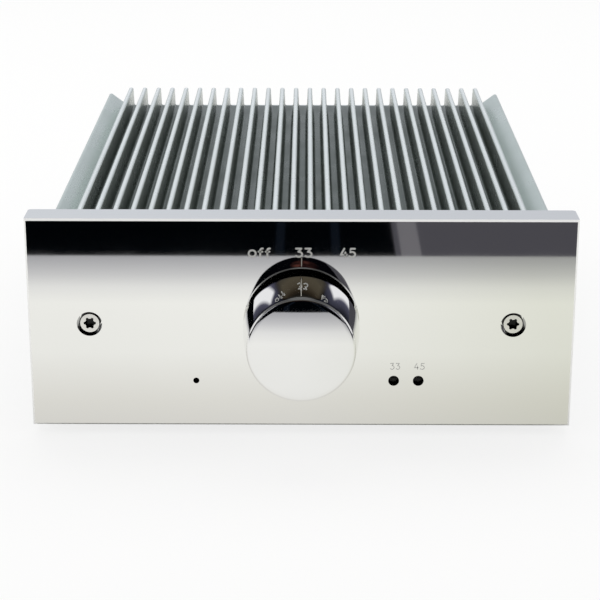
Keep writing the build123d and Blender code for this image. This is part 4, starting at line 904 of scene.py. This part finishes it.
class CONTROLLER_OT_fasteners(bpy.types.Operator):
    """Screws, nuts, pillars and the other small metal parts"""

    bl_idname = "controller.fasteners"
    bl_label = "Fasteners"

    def execute(self, context):
        coat_nodes(finish(
            "bright_screw_steel", (0.60, 0.60, 0.585), 0.20, metallic=1.0, drift=0.88,
            drift_scale=220.0, grain_scale=3000.0, grain_amount=0.8, bump=0.10),
            "knob_grub_screw switch_spindle")
        coat_nodes(finish(
            "zinc_steel", (0.52, 0.53, 0.55), 0.32, metallic=1.0, drift=0.85,
            drift_scale=150.0, grain_scale=2600.0, grain_amount=0.8, bump=0.15),
            "foot_screws base_screws heatsink_screws rear_screws board_screws "
            "transistor_screws inlet_screws earth_screw small_nuts pillar_studs "
            "detent_ball detent_spring switch_washer")
        coat_nodes(finish(
            "turned_brass", (0.62, 0.42, 0.17), 0.28, metallic=1.0, drift=0.85,
            drift_scale=120.0, stretch=(1.0, 1.0, 30.0), line_scale=500.0, line_amount=0.5,
            bump=0.10), "switch_cover switch_nut control_pillars power_pillars amplifier_pillars")
        coat_nodes(finish(
            "plated_contact", (0.66, 0.55, 0.34), 0.24, metallic=1.0, drift=0.88,
            drift_scale=200.0, bump=0.08), "inlet_pins socket_pins switch_terminals fuse_clips")
        coat_nodes(finish(
            "tinned_copper", (0.58, 0.40, 0.30), 0.36, metallic=1.0, drift=0.85,
            drift_scale=90.0, bump=0.12), "earth_strap")
        sunk = finish("sunk_screw_steel", (0.86, 0.85, 0.82), 0.24, metallic=1.0, drift=0.92,
                      drift_scale=220.0, grain_scale=3000.0, grain_amount=0.8, bump=0.10)
        # Painted shade on the sunk screws, deepening behind the panel's face
        start, end = (PANEL_FRONT + depth for depth in SCREW_SHADE)
        recolour(sunk, painted_depth_shade(), {"Deep": PAINTED_HOLE_SHADE, "Direction": (0.0, 1.0, 0.0),
                                       "Start": start, "End": end})
        coat_nodes(sunk, "panel_screws")
        return {"FINISHED"}


class CONTROLLER_OT_controls(bpy.types.Operator):
    """Lamp, trimmers and the rotary switch behind the panel"""

    bl_idname = "controller.controls"
    bl_label = "Controls"

    def execute(self, context):
        coat_nodes(finish(
            "dark_lamp_lens", (0.004, 0.003, 0.003), 0.50, drift=0.7, drift_scale=500.0,
            grain_amount=0.2, bump=0.03, specular=0.05), "indicator_lamp")
        coat_nodes(finish(
            "trimmer_housing", (0.012, 0.035, 0.16), 0.34, drift=0.85, drift_scale=260.0,
            grain_scale=4200.0, bump=0.16), "trimmer_housing_33 trimmer_housing_45")
        coat_nodes(finish(
            "trimmer_rotor", (0.045, 0.044, 0.040), 0.45, drift=0.8, drift_scale=300.0,
            grain_scale=4200.0, bump=0.18), "trimmer_rotor_33 trimmer_rotor_45")
        coat_nodes(moulded_black(), "switch_housing switch_rotor lamp_spacer")
        return {"FINISHED"}


class CONTROLLER_OT_boards(bpy.types.Operator):
    """Circuit boards and the parts on them"""

    bl_idname = "controller.boards"
    bl_label = "Boards"

    def execute(self, context):
        coat_nodes(finish(
            "solder_mask", settings("finish").board, 0.28, drift=0.7, drift_scale=700.0,
            grain_scale=1800.0, bump=0.10, coat=0.3), "control_board power_board amplifier_board")
        coat_nodes(moulded_black(), "board_headers rectifier transistors microcontroller")
        coat_nodes(finish(
            "varnished_core", (0.030, 0.030, 0.034), 0.40, drift=0.7, drift_scale=60.0,
            stretch=(1.0, 1.0, 40.0), line_scale=260.0, line_amount=0.8, bump=0.25),
            "transformer")
        coat_nodes(finish(
            "capacitor_sleeve_finish", (0.008, 0.013, 0.055), 0.24, drift=0.8,
            drift_scale=50.0, bump=0.06, coat=0.2), "reservoir_capacitors")
        coat_nodes(finish(
            "dipped_film", (0.36, 0.045, 0.022), 0.26, drift=0.85, drift_scale=120.0,
            bump=0.06, coat=0.3), "film_capacitors")
        coat_nodes(finish(
            "silicone_pad_finish", (0.22, 0.24, 0.25), 0.70, drift=0.85, drift_scale=200.0,
            stretch=(1.0, 0.05, 1.0), line_scale=900.0, line_amount=0.7, bump=0.2),
            "transistor_pads")
        coat_nodes(finish(
            "crystal_can_finish", (0.62, 0.63, 0.65), 0.18, metallic=1.0, drift=0.9,
            drift_scale=160.0, bump=0.06), "crystal")
        coat_nodes(finish(
            "ribbon_sheath_finish", (0.20, 0.21, 0.22), 0.48, drift=0.85, drift_scale=80.0,
            stretch=(1.0, 0.01, 0.01), line_scale=790.0, line_amount=1.0, bump=0.5,
            depth=0.0001), "control_ribbon supply_ribbon")
        coat_nodes(finish(
            "fuse_glass_finish", (0.90, 0.94, 0.93), 0.05, drift=0.95, drift_scale=90.0,
            grain_amount=0.1, bump=0.01, transmission=0.9), "fuse")
        return {"FINISHED"}


class CONTROLLER_OT_sockets(bpy.types.Operator):
    """Mains inlet and motor socket on the rear panel"""

    bl_idname = "controller.sockets"
    bl_label = "Rear sockets"

    def execute(self, context):
        coat_nodes(moulded_black(), "mains_inlet")
        coat_nodes(finish(
            "nickel_plate", (0.60, 0.59, 0.57), 0.22, metallic=1.0, drift=0.9,
            drift_scale=110.0, grain_scale=2600.0, bump=0.08), "motor_socket socket_nut")
        return {"FINISHED"}


# ------------------------------------------------------------------ stage cards
FLOOR_HALF = 6.0                # metres, as all the stage's places
FLOOR_GLOW = 0.80               # how far the camera sees the floor as white
CARD_HALF = 2.5
CARD_LIFT = 0.0001              # the flat cards above the floor
ROOM_FRONT = -3.0
WALL_Y, WALL_HALF, WALL_TOP = -1.25, 1.3, 0.95
BACKDROP_Y, BACKDROP_TOP = 2.0, 2.0

# Tones of the white table by the distance from the panel, and by X. Spans hold all the stops
TABLE_REACH, TABLE_SPAN = 0.25, (-0.15, 0.15)
# Painted shade on the table near the panel and toward its front edge
TABLE_TONES = ((0.244, (0.41, 0.41, 0.43)), (0.232, (0.46, 0.46, 0.48)),
               (0.210, (0.62, 0.62, 0.63)), (0.190, (0.82, 0.82, 0.81)),
               (0.165, (0.93, 0.93, 0.90)), (0.095, (0.90, 0.90, 0.87)),
               (0.036, (0.77, 0.76, 0.72)), (0.0, (0.70, 0.69, 0.66)))
TABLE_SIDES = ((-0.12, (1.0, 1.0, 1.0)), (0.0, (1.0, 1.0, 1.0)), (0.12, (0.87, 0.88, 0.82)))

# Stripes of the dark room, by X
ROOM_SPAN = (-0.1, 0.1)
ROOM_DARK, ROOM_DIM = (0.0004, 0.0008, 0.0014), (0.004, 0.006, 0.010)
ROOM_GREY, ROOM_PALE = (0.070, 0.068, 0.080), (0.155, 0.150, 0.165)
ROOM_STRIPES = ((-0.1, ROOM_DARK), (-0.0153, ROOM_DIM), (-0.0109, ROOM_DARK), (0.0149, ROOM_DIM),
                (0.0197, ROOM_DARK), (0.0494, ROOM_GREY), (0.0524, ROOM_PALE), (0.0636, ROOM_GREY))

# The dark wall: brown patches low down, windows at the sides, olive tones high up.
# Areas are (low, high, softness of the edges), in X or Z
WALL_NIGHT, WALL_BROWN = (0.001, 0.001, 0.002), (0.120, 0.040, 0.030)
WALL_SIDES, WALL_MIDDLE_X = (0.016, 0.017, 0.025), (-0.44, 0.44, 0.012)
PATCH_X, PATCH_Z = (-0.08, 0.14, 0.04), (0.19, 0.31, 0.02)
PATCH_SCALE, PATCH_SPAN, PATCH_LEAST = 13.0, (0.44, 0.58), 0.1
WINDOWS = ((-0.62, -0.475, 0.50), (0.43, 0.58, 0.42))   # left and right edge, top
GLASS_FOOT, GLASS_SOFT, GLASS_TOP_SOFT = -0.1, 0.02, 0.03
HAZE_FOOT, HAZE_RIM, HAZE_RISE, HAZE_TOP_SOFT = -0.3, 0.06, 0.05, 0.15
WINDOW_HAZE, WINDOW_GLASS = (0.10, 0.10, 0.15), (0.97, 0.97, 1.0)
OLIVE_X, OLIVE_Z, OLIVE_SPAN = (-0.40, 0.40, 0.05), (0.43, 1.2, 0.03), (0.4, 1.0)
OLIVE_TONES = ((0.42, (0.040, 0.037, 0.032)), (0.60, (0.082, 0.070, 0.049)),
               (0.70, (0.070, 0.058, 0.040)), (0.79, (0.026, 0.019, 0.012)),
               (0.84, (0.010, 0.009, 0.007)), (0.88, (0.030, 0.029, 0.026)),
               (0.95, (0.012, 0.011, 0.010)))
BACKDROP_SPAN = (-1.0, 1.0)
BACKDROP_TONES = ((-0.9, (0.70, 0.73, 0.78)), (0.9, (0.57, 0.59, 0.64)))

# Name, place, aim, width, height and power of the lamps
LAMPS = (
    ("overhead", (0.0, 0.7, 1.4), (0, 0.02, 0.05), 1.6, 1.0, 12.0),
    ("left_bank", (-1.5, -0.1, 0.9), (0, 0, 0.05), 1.2, 1.0, 8.0),
    ("right_bank", (1.5, -0.3, 0.9), (0, 0, 0.05), 1.2, 1.0, 5.0),
)
# Grey of the room in reflections, by the upward part of the direction
SKY_GREYS = ((0.0, 0.85), (0.38, 0.85), (0.52, 0.20), (0.80, 0.10), (0.93, 0.07), (0.99, 0.22))
SKY_LIGHT = 0.62                # grey of the room as light


def stage_plane(name, corners, material):
    """A flat stage card from its corner points."""
    mesh = bpy.data.meshes.new(name)
    mesh.from_pydata([tuple(corner) for corner in corners], [], [tuple(range(len(corners)))])
    mesh.materials.append(material)
    card = bpy.data.objects.new(name, mesh)
    bpy.context.scene.collection.objects.link(card)
    return card


def level_corners(half, front, rear, height):
    """Corners of a flat card."""
    return [(-half, front, height), (half, front, height), (half, rear, height),
            (-half, rear, height)]


def upright_corners(half, y, top):
    """Corners of a card that stands across the view."""
    return [(-half, y, 0.0), (half, y, 0.0), (half, y, top), (-half, y, top)]


def reflection_card(name, paint, corners):
    """A self-lit card that shows in polished metal only. paint(tree, x, y, z) colours it."""
    material = bpy.data.materials.new(name)
    material.use_nodes = True
    material.node_tree.nodes.clear()
    tree = Tree(material.node_tree)
    light = tree.node("ShaderNodeEmission",
                      {"Color": paint(tree, *tree.split(tree.coordinates()))})
    tree.node("ShaderNodeOutputMaterial", {"Surface": light.outputs[0]})
    card = stage_plane(name, corners, material)
    card.visible_camera = False
    card.visible_diffuse = False
    card.visible_shadow = False
    card.visible_transmission = False


def paint_table(tree, x, y, z):
    """White table with painted shade near the panel and toward its front edge, a little darker to
    the right.
    """
    tones = [(PANEL_FRONT - away, colour) for away, colour in TABLE_TONES]
    return tree.multiply(tree.band(y, PANEL_FRONT - TABLE_REACH, PANEL_FRONT, tones),
                         tree.band(x, *TABLE_SPAN, TABLE_SIDES))


def paint_room(tree, x, y, z):
    """Dark room with a few paler stripes."""
    return tree.band(x, *ROOM_SPAN, ROOM_STRIPES, "CONSTANT")


def paint_wall(tree, x, y, z):
    """Dark wall with a window on each side, brown patches low down and olive high up."""
    patchy = tree.times(tree.between(x, *PATCH_X),
                        tree.span(tree.noise(PATCH_SCALE), *PATCH_SPAN, PATCH_LEAST, 1.0))
    low = tree.mix(tree.times(patchy, tree.between(z, *PATCH_Z)), WALL_NIGHT, WALL_BROWN)
    shown = tree.mix(tree.between(x, *WALL_MIDDLE_X), WALL_SIDES, low)
    for left, right, top in WINDOWS:
        glass = tree.times(tree.between(x, left, right, GLASS_SOFT),
                           tree.between(z, GLASS_FOOT, top, GLASS_TOP_SOFT))
        haze = tree.times(tree.between(x, left - HAZE_RIM, right + HAZE_RIM, HAZE_RIM),
                          tree.between(z, HAZE_FOOT, top + HAZE_RISE, HAZE_TOP_SOFT))
        shown = tree.mix(glass, tree.mix(haze, shown, WINDOW_HAZE), WINDOW_GLASS)
    olive = tree.times(tree.between(z, *OLIVE_Z), tree.between(x, *OLIVE_X))
    return tree.mix(olive, shown, tree.band(z, *OLIVE_SPAN, OLIVE_TONES))


def paint_backdrop(tree, x, y, z):
    """Pale grey wall, darker to the right."""
    return tree.band(x, *BACKDROP_SPAN, BACKDROP_TONES)


class CONTROLLER_OT_stage(bpy.types.Operator):
    """Floor, reflection cards, lamps, world and camera"""

    bl_idname = "controller.stage"
    bl_label = "Studio"

    def execute(self, context):
        size = settings("stage")
        self.make_floor(size)
        self.make_cards(size)
        self.make_lamps()
        self.make_world()
        self.make_camera(size)
        context.scene.view_settings.view_transform = "Standard"
        return {"FINISHED"}

    def make_floor(self, size):
        """Pale floor that renders near white and keeps the object's shadow."""
        material = bpy.data.materials.new("floor")
        material.use_nodes = True
        tree, sockets = shading(material)
        sockets["Base Color"].default_value = (*size.floor, 1.0)
        sockets["Roughness"].default_value = 0.9
        sockets["Specular IOR Level"].default_value = 0.1
        leave = next(n for n in material.node_tree.nodes if n.type == "OUTPUT_MATERIAL")
        surface = leave.inputs["Surface"]
        path = tree.node("ShaderNodeLightPath")
        blend = tree.node("ShaderNodeMixShader", {
            0: tree.times(path.outputs["Is Camera Ray"], FLOOR_GLOW),
            1: source(surface),
            2: tree.node("ShaderNodeEmission", {"Color": WHITE}).outputs[0]})
        tree.link(blend.outputs[0], surface)
        stage_plane("floor", level_corners(FLOOR_HALF, -FLOOR_HALF, FLOOR_HALF, 0), material)

    def make_cards(self, size):
        """White table, dark room in front and grey room behind, seen in polished metal only."""
        edge = PANEL_FRONT - size.table_edge
        for name, paint, corners in (
                ("white_table", paint_table,
                 level_corners(CARD_HALF, edge, PANEL_FRONT, CARD_LIFT)),
                ("dark_room", paint_room, level_corners(CARD_HALF, ROOM_FRONT, edge, CARD_LIFT)),
                ("dark_wall", paint_wall, upright_corners(WALL_HALF, WALL_Y, WALL_TOP)),
                ("grey_backdrop", paint_backdrop,
                 upright_corners(CARD_HALF, BACKDROP_Y, BACKDROP_TOP))):
            reflection_card(name, paint, corners)

    def make_lamps(self):
        """Large soft lamps from above and from the sides, unseen in the polished metal."""
        for name, place, aim, width, height, power in LAMPS:
            data = bpy.data.lights.new(name, "AREA")
            data.shape = "RECTANGLE"
            data.size, data.size_y, data.energy = width, height, power
            lamp = bpy.data.objects.new(name, data)
            lamp.location = place
            lamp.visible_glossy = False
            lamp.rotation_mode = "QUATERNION"
            lamp.rotation_quaternion = (Vector(aim) - Vector(place)).to_track_quat("-Z", "Y")
            bpy.context.scene.collection.objects.link(lamp)

    def make_world(self):
        """Pale room: white to the camera, graded in reflections and softer as light."""
        world = bpy.data.worlds.new("pale_room")
        bpy.context.scene.world = world
        world.use_nodes = True
        tree = Tree(world.node_tree)
        ground = world.node_tree.nodes["Background"].inputs
        path = tree.node("ShaderNodeLightPath").outputs
        _, _, height = tree.split(tree.coordinates("Generated"))
        gleam = tree.ramp(height, [(at, (grey,) * 3) for at, grey in SKY_GREYS])
        seen = tree.math("MAXIMUM", path["Is Camera Ray"], path["Is Transmission Ray"])
        lit = tree.mix(path["Is Glossy Ray"], (SKY_LIGHT,) * 3, gleam)
        tree.link(tree.mix(seen, lit, WHITE), ground["Color"])
        ground["Strength"].default_value = 1.0

    def make_camera(self, size):
        """Camera at the measured place and angle."""
        data = bpy.data.cameras.new("camera")
        data.lens = size.lens
        data.sensor_width = 36.0
        data.sensor_fit = "AUTO"
        data.clip_start, data.clip_end = 0.01, 50.0
        camera = bpy.data.objects.new("camera", data)
        pitch, yaw, roll = (math.radians(v) for v in (size.pitch, size.yaw, size.roll))
        ahead = Vector((math.sin(yaw) * math.cos(pitch), math.cos(yaw) * math.cos(pitch),
                        -math.sin(pitch)))
        right = ahead.cross(Vector((0, 0, 1))).normalized()
        up = right.cross(ahead).normalized()
        rolled_right = math.cos(roll) * right + math.sin(roll) * up
        rolled_up = -math.sin(roll) * right + math.cos(roll) * up
        spin = Matrix((rolled_right, rolled_up, -ahead)).transposed().to_4x4()
        foot = Vector((0.0, PANEL_FRONT, PANEL_BASE))
        camera.matrix_world = Matrix.Translation(foot + Vector(size.camera)) @ spin
        bpy.context.scene.collection.objects.link(camera)
        bpy.context.scene.camera = camera


# ------------------------------------------------------------------ sidebar and running
OPERATORS = (
    CONTROLLER_OT_front_panel,
    CONTROLLER_OT_knob,
    CONTROLLER_OT_lettering,
    CONTROLLER_OT_heatsink,
    CONTROLLER_OT_case,
    CONTROLLER_OT_fasteners,
    CONTROLLER_OT_controls,
    CONTROLLER_OT_boards,
    CONTROLLER_OT_sockets,
    CONTROLLER_OT_stage,
)


class CONTROLLER_PT_sidebar(bpy.types.Panel):
    """Buttons and settings of the speed controller"""

    bl_idname = "CONTROLLER_PT_sidebar"
    bl_label = "Speed controller"
    bl_space_type = "VIEW_3D"
    bl_region_type = "UI"
    bl_category = "Controller"

    def draw(self, context):
        layout = self.layout
        for operator in OPERATORS:
            layout.operator(operator.bl_idname)
        for name, group in SETTINGS.items():
            box = layout.box()
            box.label(text=name.title())
            for key in group.__annotations__:
                box.prop(settings(name), key)


def register():
    """Adds the classes and the scene's settings."""
    for group in SETTINGS.values():
        bpy.utils.register_class(group)
    for operator in OPERATORS:
        bpy.utils.register_class(operator)
    bpy.utils.register_class(CONTROLLER_PT_sidebar)
    for name, group in SETTINGS.items():
        setattr(bpy.types.Scene, "controller_" + name, bpy.props.PointerProperty(type=group))


def unregister():
    """Removes the classes and the scene's settings."""
    for name in SETTINGS:
        delattr(bpy.types.Scene, "controller_" + name)
    bpy.utils.unregister_class(CONTROLLER_PT_sidebar)
    for operator in reversed(OPERATORS):
        bpy.utils.unregister_class(operator)
    for group in SETTINGS.values():
        bpy.utils.unregister_class(group)


def main():
    """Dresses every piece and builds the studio."""
    register()
    for operator in OPERATORS:
        group, name = operator.bl_idname.split(".")
        getattr(getattr(bpy.ops, group), name)()


if __name__ == "__main__":
    main()
